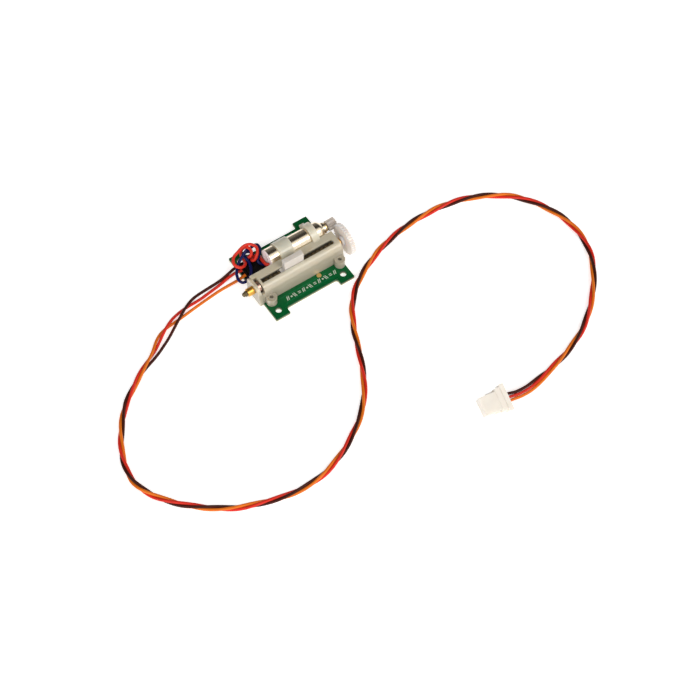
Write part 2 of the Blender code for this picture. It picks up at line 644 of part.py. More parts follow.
def motor():
    y, z = MOTOR_Y, MOTOR_Z
    inner = CAN_R - CAN_WALL
    front = CAN_X[1]
    shoulder = front - 0.85
    turned("motor_can", [(front, CAN_R - 0.6), (front - 0.3, CAN_R - 0.35), (shoulder, CAN_R),
                         (CAN_X[0], CAN_R), (CAN_X[0], inner), (shoulder, inner),
                         (front - 0.45, CAN_R - 0.6), (front - 0.45, 0.62), (front, 0.62)],
           y, z, "steel", 48)
    rim = CAN_X[0] - SKIN_GAP
    turned("motor_end_cap", [(CAP_X[1], inner - 0.03), (rim, inner - 0.03), (rim, CAN_R),
                             (CAP_X[0] + 0.05, CAN_R), (CAP_X[0], CAN_R - 0.06), (CAP_X[0], 0.4),
                             (CAP_X[1], 0.4)], y, z, "white_nylon", 48)
    turned("front_collar", [(9.3, 1.15), (9.2, 1.25), (8.77, 1.25), (8.77, 0.62), (9.3, 0.62)],
           y, z, "steel", 32)
    turned("front_bearing", [(9.7, 0.35), (9.7, 0.9), (9.6, 1.0), (9.32, 1.0), (9.32, 0.58),
                             (7.6, 0.58), (7.6, 0.35)], y, z, "brass", 28)
    turned("stator_magnet", [(7.5, 0.95), (-0.9, 0.95), (-0.9, 0.36), (7.5, 0.36)], y, z, "magnet", 28)
    turned("rotor_coil", [(7.6, 1.55), (-1.9, 1.55), (-1.9, 0.32), (-1.6, 0.32), (-1.6, 1.15),
                          (7.6, 1.15)], y, z, "copper", 32)
    turned("commutator", [(-1.95, 0.5), (-3.2, 0.5), (-3.2, 0.32), (-1.95, 0.32)], y, z, "gold", 20)
    rod("motor_shaft", (-4.1, PINION_X[1] + 0.02), y, z, SHAFT_R, "steel", 16)
    gear("pinion", PINION_TEETH, PROFILE_SHIFT, meshing_phase(), PINION_X, y, z, SHAFT_R + 0.02,
         "white_nylon")
    for name, side in (("brush_positive", 1), ("brush_negative", -1)):
        near, far = sorted((z + side * 0.54, z + side * 0.62))
        box(name, (-3.1, y - 1.4, near), (-2.3, y + 0.5, far), "gold")


# ---------------------------------------------------------------- leads and connector

def plug_frame():
    return (Matrix.Translation(place(*PLUG_REAR)) @ Matrix.Rotation(PLUG_YAW, 4, "Z")
            @ Matrix.Rotation(PLUG_ROLL, 4, "X"))


def plug_block(name, low, high, colour=None, bevel=0.0, cutter=False):
    """A block in the connector's own frame: X forward from its rear, Y across the pins."""
    low, high = np.array(low, float), np.array(high, float)
    data = mesh_from(name, lambda bm: bmesh.ops.create_cube(bm, size=1.0))
    data.transform(Matrix.Diagonal((*(high - low) * MM, 1)))
    matrix = plug_frame() @ Matrix.Translation(Vector((low + high) / 2 * MM))
    obj = add(name, data, colour, matrix, cutter)
    if bevel:
        mod = obj.modifiers.new("Bevel", "BEVEL")
        mod.width = bevel * MM
        mod.segments = 2
    return obj


def connector():
    housing = plug_block("connector_housing", (0, -2.75, -1.5), (0.9, 2.75, 1.5), "white_nylon")
    shoulder = plug_block("plug_shoulder", (0.5, -2.35, -1.35), (2.0, 2.35, 1.3), cutter=True)
    nose = plug_block("plug_nose", (1.5, -1.85, -1.2), (PLUG_LENGTH, 1.85, 1.2), cutter=True)
    boolean(housing, "UNION", shoulder, nose)
    recess = plug_block("plug_recess", (-1, -1.4, -0.42), (0.6, 1.4, 0.42), cutter=True)
    cavities, windows = [recess], []
    for i, side in enumerate((-1, 0, 1)):
        y = side * PIN_PITCH
        cavities.append(plug_block(f"plug_cavity_{i}", (-1, y - 0.4, -0.45),
                                   (PLUG_LENGTH + 1, y + 0.4, 0.45), cutter=True))
        windows.append(plug_block(f"plug_window_{i}", (3.0, y - 0.25, 0.3), (4.0, y + 0.25, 2),
                                  cutter=True))
        terminal = plug_block(f"terminal_{i + 1}", (1.0, y - 0.3, -0.35), (5.2, y + 0.3, 0.35), "gold")
        slit = plug_block(f"terminal_slit_{i}", (2.2, y - 0.14, -0.18), (6, y + 0.14, 0.18), cutter=True)
        boolean(terminal, "DIFFERENCE", slit)
    boolean(housing, "DIFFERENCE", *cavities, *windows)


def leads():
    tube("motor_lead_red", MOTOR_LEAD_RED, MOTOR_LEAD_R, 0.55, "wire_red")
    tube("motor_lead_blue", MOTOR_LEAD_BLUE, MOTOR_LEAD_R, 0.55, "wire_blue")
    tube("lead_ground", GROUND_WIRE, LEAD_R, 2.4, "wire_brown")
    tube("lead_power", POWER_WIRE, LEAD_R, 2.4, "wire_red")
    tube("lead_signal", SIGNAL_WIRE, LEAD_R, 2.4, "wire_orange")
    tube("lead_bundle", BUNDLE_ROUTE, BUNDLE_R, 3.6, "wire_orange")


clear_scene()
PARTS = collection(COLLECTION)
CUTTERS = collection("cutters")
circuit_board()
board_parts()
main_frame()
bushes()
screw_parts()
slider()
wiper()
motor()
connector()
leads()
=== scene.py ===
"""Looks of the ultra-micro linear servo, its twisted lead and its plug.

Lengths are in millimetres from the board's centre, as in the CAD model, and MM makes them metres.
Angles of arcs are in degrees. Every piece is built at rest and rides on its body.
"""
import math

import bmesh
import bpy
import numpy as np
from mathutils import Matrix, Vector


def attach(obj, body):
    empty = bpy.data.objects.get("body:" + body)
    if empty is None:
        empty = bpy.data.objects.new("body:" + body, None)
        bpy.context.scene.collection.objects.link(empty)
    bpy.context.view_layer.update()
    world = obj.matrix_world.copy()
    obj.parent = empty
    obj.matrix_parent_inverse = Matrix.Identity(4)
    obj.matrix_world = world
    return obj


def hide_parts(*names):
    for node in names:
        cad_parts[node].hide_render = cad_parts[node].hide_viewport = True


MM = 0.001
BOARD_X = 0.3  # the board's centre along X in the row's frame
WELD = 2e-7  # vertices closer than this, in metres, are merged

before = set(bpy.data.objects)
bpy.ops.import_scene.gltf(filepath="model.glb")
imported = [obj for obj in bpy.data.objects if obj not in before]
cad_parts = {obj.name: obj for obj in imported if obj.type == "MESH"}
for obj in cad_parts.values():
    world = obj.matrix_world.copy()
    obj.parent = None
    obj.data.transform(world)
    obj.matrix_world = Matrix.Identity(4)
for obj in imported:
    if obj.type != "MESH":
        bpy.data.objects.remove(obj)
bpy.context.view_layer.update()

BASE, SCREW, ROTOR, CARRIAGE = "servo_body", "screw", "rotor", "carriage"

# Main sizes, as in the CAD model.
BOARD_T = 0.8
HOLE_X, HOLE_Y, HOLE_R = 7.65, 7.05, 0.65
SCREW_Y, SCREW_Z = -1.9, BOARD_T + 2.86
SCREW_LEAD = 1.0
JOURNAL_R = 0.45
THREAD_MEAN_R, THREAD_DEPTH = 0.68, 0.12
THREAD_X = (-8.1, 8.6)
MODULE = 0.2
SPUR_TEETH, PINION_TEETH = 33, 9
PROFILE_SHIFT, BACKLASH = 0.4, 0.03
PRESSURE_ANGLE = math.radians(20)
GEAR_RISE = math.radians(9.7)
MOTOR_Y = SCREW_Y + 4.2 * math.cos(GEAR_RISE)
MOTOR_Z = SCREW_Z + 4.2 * math.sin(GEAR_RISE)
CAN_R = 2.0
FRAME_BASE = BOARD_T + 0.02
FRAME_TOP = BOARD_T + 4.4
CHANNEL_TOP = BOARD_T + 3.95
CHANNEL_Y = (-3.45, -0.35)
CHANNEL_R = 1.1
BOSSES = ((-7.75, -4.75), (8.35, -4.8))
BOSS_R, PILOT_R = 1.1, 0.42

# ---------------------------------------------------------------- routes, as in the CAD model

MOTOR_LEAD_RED = [
    (-4.27, 1.45, 3.65), (-4.56, 1.5, 3.63), (-4.76, 1.78, 3.52), (-4.72, 2.51, 3.25),
    (-4.58, 3.72, 2.75), (-4.26, 4.84, 2.2), (-4.49, 5.55, 2.05), (-5.2, 5.62, 2.1),
    (-5.87, 5.37, 2.2), (-6.21, 4.63, 2.65), (-5.86, 4.29, 3.1), (-5.31, 4.45, 3.6),
    (-4.77, 4.89, 4.1), (-4.43, 5.7, 4.4), (-4.66, 6.49, 4.5), (-5.23, 7.14, 4.5),
    (-6.09, 7.4, 4.5), (-7.06, 7.29, 4.4), (-8.14, 6.92, 4.3), (-9.12, 6.58, 4.2),
    (-9.78, 5.98, 4.1), (-10.13, 5.22, 4), (-9.97, 4.5, 3.8), (-9.4, 4.05, 3.5), (-8.6, 4.11, 3.1),
    (-7.79, 4.74, 2.6), (-7.49, 5.66, 2.15), (-7.3, 6.62, 2), (-7.19, 7.34, 2.2), (-6.9, 7.67, 2.8),
    (-6.41, 7.66, 3.4), (-5.9, 7.24, 3.92), (-5.59, 6.5, 4.1), (-5.67, 5.68, 4), (-6.09, 5.24, 3.7),
    (-6.39, 5.31, 3.3), (-6.37, 5.64, 2.75), (-6.17, 6.17, 1.9), (-5.98, 6.51, 1.2),
]
MOTOR_LEAD_BLUE = [
    (-4.27, 2.6, 2.6), (-4.6, 2.66, 2.55), (-4.68, 2.76, 2.35), (-4.93, 3.16, 2.18),
    (-5.17, 3.68, 2.15), (-5.2, 4.19, 2.4), (-4.86, 4.45, 2.95), (-4.41, 4.85, 3.35),
    (-3.95, 5.3, 3.6), (-3.68, 5.92, 3.8), (-3.74, 6.68, 3.7), (-4.16, 7.05, 3.4),
    (-4.76, 7.05, 3.3), (-5.4, 6.99, 3.3), (-6.15, 6.86, 3.45), (-6.95, 6.55, 3.3),
    (-7.8, 6.07, 3.15), (-8.61, 5.65, 2.95), (-9.35, 5.1, 2.75), (-10, 4.41, 2.55),
    (-10.51, 3.64, 2.35), (-10.8, 2.55, 2.15), (-10.47, 1.64, 2.05), (-9.55, 1.53, 1.98),
    (-8.53, 1.97, 1.98), (-7.74, 2.71, 2), (-7.24, 3.58, 2.1), (-6.96, 4.43, 2.2),
    (-6.88, 5.19, 2.35), (-6.91, 5.81, 2.55), (-6.9, 6.55, 2.6), (-6.51, 6.97, 2.7),
    (-5.92, 7, 2.65), (-5.46, 6.75, 2.5), (-5.13, 6.56, 2.1), (-4.98, 6.44, 1.65),
    (-4.96, 6.34, 1.2),
]
GROUND_WIRE = [
    (-8.75, 5.8, 1.45), (-10.6, 5.7, 1.3), (-12.6, 5.2, 0.95), (-14.2, 5.3, 0.5),
    (-16.0, 5.3, 0.35), (-18.0, 5.1, 0.45), (-20.0, 4.8, 0.75), (-21.5, 4.1, 1.05),
    (-22.8, 3.4, 1.1), (-24.2, 2.5, 1.1), (-25.5, 1.7, 1.0), (-26.9, 0.9, 0.7), (-28.8, -0.3, 0.35),
    (-30.9, -1.4, 0.32), (-33.0, -2.5, 0.32),
]
POWER_WIRE = [
    (-8.75, 4.5, 1.45), (-10.9, 4.95, 1.2), (-12.7, 4.75, 0.7), (-14.6, 4.5, 0.35),
    (-16.3, 4.4, 0.32), (-18.3, 4.0, 0.32), (-20.0, 3.9, 0.32), (-21.6, 3.9, 0.32),
    (-23.0, 3.8, 0.32), (-24.5, 3.6, 0.32), (-26.0, 3.0, 0.6), (-27.5, 2.2, 0.95),
    (-28.6, 1.4, 1.0), (-29.8, 0.6, 0.9), (-31.2, -0.4, 0.6), (-32.7, -1.4, 0.38),
]
SIGNAL_WIRE = [
    (-8.75, 3.2, 1.45), (-10.7, 3.2, 0.95), (-12.8, 3.5, 0.5), (-15.3, 3.5, 0.32),
    (-17.0, 3.3, 0.32), (-18.8, 3.1, 0.32), (-20.6, 2.9, 0.32), (-22.4, 2.6, 0.32),
    (-24.1, 2.4, 0.32), (-25.6, 2.2, 0.32), (-26.9, 2.1, 0.32), (-28.2, 2.0, 0.32),
    (-29.5, 1.7, 0.32), (-30.7, 0.9, 0.45), (-31.8, 0.0, 0.9), (-33.0, -1.4, 1.0),
]
BUNDLE_ROUTE = [
    (-33.5, -2.1, 0.66), (-37.0, -3.9, 0.66), (-40.6, -6.3, 0.66), (-43.8, -8.8, 0.66),
    (-46.2, -11.5, 0.66), (-48.5, -14.9, 0.66), (-50.4, -18.9, 0.66), (-51.2, -23.6, 0.66),
    (-49.9, -28.0, 0.66), (-46.8, -32.4, 0.66), (-42.7, -36.3, 0.66), (-38.5, -39.2, 0.66),
    (-33.9, -41.1, 0.66), (-27.8, -42.7, 0.66), (-21.6, -42.7, 0.66), (-16.3, -41.1, 0.66),
    (-11.6, -38.6, 0.66), (-7.4, -35.5, 0.66), (-4.4, -32.1, 0.66), (-2.3, -28.8, 0.66),
    (-0.3, -24.7, 0.66), (2.0, -19.3, 0.66), (4.5, -14.9, 0.66), (7.4, -11.6, 0.66),
    (11.4, -8.8, 0.66), (16.9, -6.3, 0.66), (22.8, -4.8, 0.66), (28.5, -4.3, 0.66),
    (33.8, -4.6, 0.66), (38.5, -5.7, 0.66), (42.8, -7.7, 0.66), (46.8, -10.7, 0.66),
    (50.0, -15.2, 0.66), (52.0, -20.5, 0.66), (52.4, -25.7, 0.66), (51.2, -30.8, 0.66),
    (48.3, -35.6, 0.66), (44.1, -40.2, 0.66), (39.1, -44.0, 0.66), (33.5, -46.5, 0.66),
    (28.0, -48.0, 0.70), (23.0, -49.2, 1.20), (19.7, -49.6, 2.10), (17.6, -49.3, 2.50),
]
LEAD_D, MOTOR_LEAD_D = 0.6, 0.62
TWIST_R = LEAD_D / math.sqrt(3) + 0.005
# The twist's phase in degrees, every TWIST_STEP along the middle line. It falls as the wires lie
# left-handed, by one turn in 15 to 19 mm.
TWIST_STEP = 12.0
TWIST_PHASES = (128, -107, -386, -681, -940, -1185, -1416, -1656, -1896, -2169, -2427, -2698,
                -2969, -3241, -3513, -3782, -4028, -4280, -4430)
# Along the middle line: where the twist takes over from the three separate routes, how far before
# its end the wires start to lie flat for the plug, and over what length they do so.
TWIST_FROM, FLAT_BEFORE_END, FLAT_OVER = 3.0, 13, 7
KINKS_EASED = 34  # how much of each wire, from the board, has its kinks eased out
MOTOR_LEAD_SPACING = 0.15

PLUG_REAR = (17.0, -49.1, 2.5)
PLUG_YAW, PLUG_ROLL = math.radians(172), math.radians(-21)
PLUG_LENGTH = 5.6
PIN_PITCH = 1.0


def place(x, y, z):
    """A point given from the board's centre in millimetres, as metres in the row's frame."""
    return Vector(((x + BOARD_X) * MM, y * MM, z * MM))


# ---------------------------------------------------------------- camera, light and floor

AZIMUTH, ELEVATION = math.radians(-34.095), math.radians(58.01)
DISTANCE = 0.45
TARGET = place(-0.97, -22.18, 0)
LENS = 118.81
PALE = (0.95, 0.95, 0.95, 1)
# The sky's brightness against the angle in degrees from the zenith, towards the front.
SKY = ((-180, 0.25), (-88, 0.25), (-70, 0.20), (-45, 0.12), (-30, 0.04), (-2, 0.04), (8, 1.1),
       (95, 1.1), (130, 0.45), (180, 0.25))
SKY_GREEN, SKY_BLUE = 0.985, 0.96  # against red, so that the sky is slightly warm


def area_light(name, direction, distance, size, watts, colour=(1, 1, 1)):
    """A soft square light that shines on the object from this direction."""
    data = bpy.data.lights.new(name, "AREA")
    data.shape = "SQUARE"
    data.size = size
    data.energy = watts
    data.color = colour
    light = bpy.data.objects.new(name, data)
    bpy.context.scene.collection.objects.link(light)
    away = Vector(direction).normalized()
    light.location = TARGET + away * distance
    light.rotation_mode = "QUATERNION"
    light.rotation_quaternion = away.to_track_quat("Z", "Y")


def studio_sky(tree):
    """A sky like a soft tent in front of the object, with a dark gap just behind the zenith.

    The camera itself sees a plain pale backdrop in its place.
    """
    coords = tree.nodes.new("ShaderNodeTexCoord")
    split = tree.nodes.new("ShaderNodeSeparateXYZ")
    tree.links.new(coords.outputs["Generated"], split.inputs["Vector"])
    front = tree.nodes.new("ShaderNodeMath")
    front.operation = "MULTIPLY"
    front.inputs[1].default_value = -1
    tree.links.new(split.outputs["Y"], front.inputs[0])
    angle = tree.nodes.new("ShaderNodeMath")
    angle.operation = "ARCTAN2"
    tree.links.new(front.outputs["Value"], angle.inputs[0])
    tree.links.new(split.outputs["Z"], angle.inputs[1])
    along = tree.nodes.new("ShaderNodeMapRange")
    along.inputs["From Min"].default_value = -math.pi
    along.inputs["From Max"].default_value = math.pi
    tree.links.new(angle.outputs["Value"], along.inputs["Value"])
    ramp = tree.nodes.new("ShaderNodeValToRGB")
    stops = ramp.color_ramp.elements
    while len(stops) < len(SKY):
        stops.new(0.5)
    for stop, (degrees, level) in zip(stops, SKY):
        stop.position = (degrees + 180) / 360
        stop.color = (level, level * SKY_GREEN, level * SKY_BLUE, 1)
    tree.links.new(along.outputs["Result"], ramp.inputs["Fac"])
    tent = tree.nodes["Background"]
    tree.links.new(ramp.outputs["Color"], tent.inputs["Color"])
    backdrop = tree.nodes.new("ShaderNodeBackground")
    backdrop.inputs["Color"].default_value = PALE
    path = tree.nodes.new("ShaderNodeLightPath")
    either = tree.nodes.new("ShaderNodeMixShader")
    tree.links.new(path.outputs["Is Camera Ray"], either.inputs["Fac"])
    tree.links.new(tent.outputs["Background"], either.inputs[1])
    tree.links.new(backdrop.outputs["Background"], either.inputs[2])
    tree.links.new(either.outputs["Shader"], tree.nodes["World Output"].inputs["Surface"])


def set_the_stage():
    """Camera, sky, two soft lights and a sheet of paper just under the object."""
    scene = bpy.context.scene
    data = bpy.data.cameras.new("camera")
    data.lens = LENS
    data.sensor_width = 36
    data.clip_start, data.clip_end = 0.01, 10
    camera = bpy.data.objects.new("camera", data)
    scene.collection.objects.link(camera)
    back = Vector((math.sin(AZIMUTH) * math.cos(ELEVATION),
                   -math.cos(AZIMUTH) * math.cos(ELEVATION), math.sin(ELEVATION)))
    camera.location = TARGET + back * DISTANCE
    camera.rotation_mode = "QUATERNION"
    camera.rotation_quaternion = back.to_track_quat("Z", "Y")
    scene.camera = camera

    world = bpy.data.worlds.new("studio")
    world.use_nodes = True
    studio_sky(world.node_tree)
    scene.world = world
    area_light("key", (0.35, -0.75, 0.9), 0.5, 0.16, 0.55, (1.0, 0.96, 0.9))
    area_light("fill", (-0.9, -0.3, 0.8), 0.6, 0.25, 0.9)

    floor = bpy.data.meshes.new("floor")
    side, drop = 3.0, 0.00002
    floor.from_pydata([(-side, -side, 0), (side, -side, 0), (side, side, 0), (-side, side, 0)], [],
                      [(0, 1, 2, 3)])
    paper = bpy.data.materials.new("paper")
    paper.use_nodes = True
    shader = paper.node_tree.nodes["Principled BSDF"]
    shader.inputs["Base Color"].default_value = PALE
    shader.inputs["Roughness"].default_value = 0.9
    shader.inputs["Specular IOR Level"].default_value = 0.1
    shader.inputs["Emission Color"].default_value = (1, 1, 1, 1)
    shader.inputs["Emission Strength"].default_value = 0.5
    floor.materials.append(paper)
    ground = bpy.data.objects.new("floor", floor)
    ground.location.z = -drop
    scene.collection.objects.link(ground)
    scene.view_settings.view_transform = "Standard"
    scene.view_settings.look = "None"


# ---------------------------------------------------------------- materials

def finish(name, colour, roughness, metallic=0.0, vary=0.08, grain=1.2, stretch=(1, 1, 1),
           bump=0.15, bump_grain=14.0, height=None, second=None, **sockets):
    """A material with mottled colour, uneven gloss and a fine relief, all in object coordinates.

    grain and bump_grain are in marks per millimetre. The mottling runs to the second colour, if
    one is given. height, if given, is (z low, z high, colour) for a piece whose colour changes
    towards the board; on the frame this change is painted shade. Other names set the shader's
    inputs.
    """
    made = bpy.data.materials.new(name)
    made.use_nodes = True
    tree = made.node_tree
    shader = tree.nodes["Principled BSDF"]
    coords = tree.nodes.new("ShaderNodeTexCoord")
    scale = tree.nodes.new("ShaderNodeMapping")
    scale.inputs["Scale"].default_value = [1000 * s for s in stretch]
    tree.links.new(coords.outputs["Object"], scale.inputs["Vector"])

    def noise(marks, detail):
        node = tree.nodes.new("ShaderNodeTexNoise")
        node.inputs["Scale"].default_value = marks
        node.inputs["Detail"].default_value = detail
        tree.links.new(scale.outputs["Vector"], node.inputs["Vector"])
        return node.outputs["Fac"]

    ramp = tree.nodes.new("ShaderNodeValToRGB")
    ramp.color_ramp.elements[0].position = 0.3
    ramp.color_ramp.elements[1].position = 0.7
    ramp.color_ramp.elements[0].color = (*(second or [c * (1 - vary) for c in colour]), 1)
    ramp.color_ramp.elements[1].color = (*[min(1, c * (1 + vary)) for c in colour], 1)
    tree.links.new(noise(grain, 3), ramp.inputs["Fac"])
    tint = ramp.outputs["Color"]
    if height:
        low, high, dark = height
        split = tree.nodes.new("ShaderNodeSeparateXYZ")
        tree.links.new(coords.outputs["Object"], split.inputs["Vector"])
        rise = tree.nodes.new("ShaderNodeMapRange")
        rise.inputs["From Min"].default_value = low * MM
        rise.inputs["From Max"].default_value = high * MM
        tree.links.new(split.outputs["Z"], rise.inputs["Value"])
        mix = tree.nodes.new("ShaderNodeMix")
        mix.data_type = "RGBA"
        mix.inputs["A"].default_value = (*dark, 1)
        tree.links.new(rise.outputs["Result"], mix.inputs["Factor"])
        tree.links.new(tint, mix.inputs["B"])
        tint = mix.outputs["Result"]
    tree.links.new(tint, shader.inputs["Base Color"])
    gloss = tree.nodes.new("ShaderNodeMapRange")
    gloss.inputs["To Min"].default_value = roughness * 0.8
    gloss.inputs["To Max"].default_value = min(1, roughness * 1.25)
    tree.links.new(noise(grain * 2.3, 2), gloss.inputs["Value"])
    tree.links.new(gloss.outputs["Result"], shader.inputs["Roughness"])
    relief = tree.nodes.new("ShaderNodeBump")
    relief.inputs["Strength"].default_value = bump
    relief.inputs["Distance"].default_value = 0.00002
    tree.links.new(noise(bump_grain, 2), relief.inputs["Height"])
    tree.links.new(relief.outputs["Normal"], shader.inputs["Normal"])
    shader.inputs["Metallic"].default_value = metallic
    for socket, value in sockets.items():
        shader.inputs[socket.replace("_", " ")].default_value = value
    return made


SOFT = {"Subsurface_Radius": (0.0012, 0.0010, 0.0008), "Subsurface_Scale": 1.0}
MASK = finish("mask_green", (0.0010, 0.092, 0.022), 0.3, vary=0.12, grain=0.5, bump=0.1,
              Specular_IOR_Level=0.2)
MASK_TRACE = finish("mask_over_trace", (0.003, 0.14, 0.045), 0.28, vary=0.08, grain=0.8, bump=0.1,
                    Specular_IOR_Level=0.2)
LAMINATE = finish("laminate", (0.012, 0.055, 0.022), 0.6, vary=0.12, grain=4, stretch=(1, 1, 8),
                  bump=0.3, height=(0.30, 0.42, (0.44, 0.43, 0.27)))
SILK = finish("silk_white", (0.50, 0.56, 0.46), 0.6, vary=0.05, grain=6, bump=0.2)
# The frame's colour darkens towards the board, fully so below 3.6 mm up: painted shade on its lower
# parts.
NYLON = finish("frame_nylon", (0.80, 0.69, 0.50), 0.3, vary=0.06, grain=0.22, bump=0.12,
               bump_grain=8, second=(0.66, 0.63, 0.52), height=(3.6, 7.0, (0.39, 0.355, 0.275)),
               Coat_Weight=0.35, Coat_Roughness=0.12, Subsurface_Weight=0.6, **SOFT)
WHITE = finish("slider_nylon", (0.63, 0.585, 0.54), 0.38, vary=0.03, grain=0.8, bump=0.1,
               Subsurface_Weight=0.35, **SOFT)
GEAR_WHITE = finish("gear_nylon", (0.80, 0.735, 0.695), 0.36, vary=0.03, grain=0.8, bump=0.08,
                    Subsurface_Weight=0.9, **SOFT)
PINION_GREY = finish("pinion_nylon", (0.50, 0.45, 0.41), 0.42, vary=0.03, grain=0.8, bump=0.08,
                     Subsurface_Weight=0.3, **SOFT)
CAP_PLASTIC = finish("cap_plastic", (0.90, 0.80, 0.79), 0.4, vary=0.05, grain=1.5, bump=0.12)
PLUG_WHITE = finish("plug_nylon", (0.80, 0.75, 0.68), 0.4, vary=0.03, grain=0.6, bump=0.12,
                    Subsurface_Weight=0.3, **SOFT)
STEEL = finish("can_steel", (0.82, 0.71, 0.54), 0.2, 1.0, vary=0.03, grain=0.6, stretch=(0.3, 1, 1),
               bump=0.01, bump_grain=2)
DARK_STEEL = finish("shaft_steel", (0.22, 0.175, 0.10), 0.68, 1.0, vary=0.1, grain=2.0, bump=0.1)
BRASS = finish("bush_brass", (0.78, 0.43, 0.09), 0.34, 1.0, vary=0.08, grain=2.0, stretch=(3, 1, 1),
               bump=0.12)
BEARING = finish("bearing_brass", (0.86, 0.64, 0.36), 0.3, 1.0, vary=0.06, grain=2.0, bump=0.06)
BRONZE = finish("collar_bronze", (0.62, 0.42, 0.34), 0.3, 1.0, vary=0.1, grain=2.0, bump=0.1)
COPPER = finish("winding_copper", (0.72, 0.34, 0.18), 0.3, 1.0, vary=0.12, grain=6,
                stretch=(0.4, 6, 6), bump=0.6)
GOLD = finish("pad_gold", (0.88, 0.60, 0.22), 0.3, 1.0, vary=0.08, grain=3, bump=0.15)
CONTACT = finish("contact_gold", (0.85, 0.62, 0.30), 0.26, 1.0, vary=0.06, grain=3, bump=0.1)
MAGNET = finish("magnet_nickel", (0.42, 0.42, 0.44), 0.35, 1.0, vary=0.08, grain=2, bump=0.15)
SOLDER = finish("solder", (0.62, 0.62, 0.64), 0.24, 1.0, vary=0.14, grain=2.4, bump=0.35,
                bump_grain=3)
# Near-black solder for the wire joints and the chips' pads: its darkness is painted shade.
JOINT_IN_SHADE = finish("solder_in_painted_shade", (0.07, 0.06, 0.05), 0.5, 1.0, vary=0.2, grain=2.4, bump=0.4,
               bump_grain=3)
CARBON = finish("track_carbon", (0.018, 0.018, 0.018), 0.62, vary=0.3, grain=6, bump=0.3)
# Black epoxy of the chips; the same black also makes the sheet of painted shade round the control
# chip.
EPOXY_AND_SHADE = finish("chip_epoxy_and_painted_shade", (0.004, 0.004, 0.004), 0.5, vary=0.25, grain=5, bump=0.35,
               Specular_IOR_Level=0.2)
CERAMIC = finish("capacitor_ceramic", (0.34, 0.20, 0.11), 0.5, vary=0.1, grain=4, bump=0.2)
ALUMINA = finish("resistor_body", (0.02, 0.02, 0.025), 0.4, vary=0.2, grain=4, bump=0.2)
WIRES = {
    "motor_red": finish("wire_motor_red", (0.70, 0.032, 0.014), 0.4, vary=0.07, grain=0.8, bump=0.1,
                        Specular_IOR_Level=0.3),
    "motor_blue": finish("wire_motor_blue", (0.003, 0.006, 0.085), 0.35, vary=0.12, grain=0.8,
                         bump=0.1, Specular_IOR_Level=0.25),
    "ground": finish("wire_ground", (0.050, 0.008, 0.004), 0.45, vary=0.2, grain=0.5, bump=0.12,
                     Specular_IOR_Level=0.15),
    "power": finish("wire_power", (0.62, 0.024, 0.011), 0.42, vary=0.08, grain=0.5, bump=0.12,
                    Specular_IOR_Level=0.2),
    "signal": finish("wire_signal", (0.70, 0.155, 0.009), 0.42, vary=0.08, grain=0.5, bump=0.12,
                     Specular_IOR_Level=0.2),
}


# ---------------------------------------------------------------- mesh helpers

def mesh_from(name, build):
    """A mesh filled by build(bm), which works in metres in the row's frame."""
    bm = bmesh.new()
    build(bm)
    bmesh.ops.recalc_face_normals(bm, faces=bm.faces)
    data = bpy.data.meshes.new(name)
    bm.to_mesh(data)
    bm.free()
    return data


def piece(name, data, finishes, body=BASE, replaces=(), bevel=0.0, segments=2, sharp=35):
    """Shows the mesh or curve as a piece that rides on this body.

    Edges sharper than this many degrees stay sharp, or get a bevel of this many millimetres.
    """
    obj = bpy.data.objects.new(name, data)
    bpy.context.scene.collection.objects.link(obj)
    data.materials.clear()
    for one in finishes if isinstance(finishes, (list, tuple)) else [finishes]:
        data.materials.append(one)
    if isinstance(data, bpy.types.Mesh):
        data.shade_smooth()
        data.set_sharp_from_angle(angle=math.radians(sharp))
    if bevel:
        mod = obj.modifiers.new("Bevel", "BEVEL")
        mod.width = bevel * MM
        mod.segments = segments
        mod.limit_method = "ANGLE"
        mod.angle_limit = math.radians(sharp)
        mod.use_clamp_overlap = True
    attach(obj, body)
    if replaces:
        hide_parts(*replaces)
    return obj


def carve(data, *steps):
    """The mesh after each (operation, mesh) step of an exact Boolean."""
    base = bpy.data.objects.new("carved", data)
    bpy.context.scene.collection.objects.link(base)
    tools = []
    for operation, other in steps:
        tool = bpy.data.objects.new("tool", other)
        bpy.context.scene.collection.objects.link(tool)
        tools.append(tool)
        mod = base.modifiers.new("step", "BOOLEAN")
        mod.operation = operation
        mod.solver = "EXACT"
        mod.object = tool
    bpy.context.view_layer.update()
    deps = bpy.context.evaluated_depsgraph_get()
    done = bpy.data.meshes.new_from_object(base.evaluated_get(deps))
    for obj in [base, *tools]:
        bpy.data.objects.remove(obj, do_unlink=True)
    bm = bmesh.new()
    bm.from_mesh(done)
    bmesh.ops.remove_doubles(bm, verts=bm.verts, dist=WELD)
    bmesh.ops.dissolve_degenerate(bm, edges=bm.edges, dist=WELD)
    bm.to_mesh(done)
    bm.free()
    return done


def block(low, high, matrix=None):
    """A block between two corners; with a matrix, the corners are in that frame."""
    low, high = np.array(low, float), np.array(high, float)
    if matrix is None:
        low, high = low + [BOARD_X, 0, 0], high + [BOARD_X, 0, 0]

    def build(bm):
        bmesh.ops.create_cube(bm, size=1.0)
        size = Matrix.Diagonal((*(high - low) * MM, 1))
        bm.transform(Matrix.Translation(Vector((low + high) / 2 * MM)) @ size)
        if matrix is not None:
            bm.transform(matrix)

    return mesh_from("block", build)


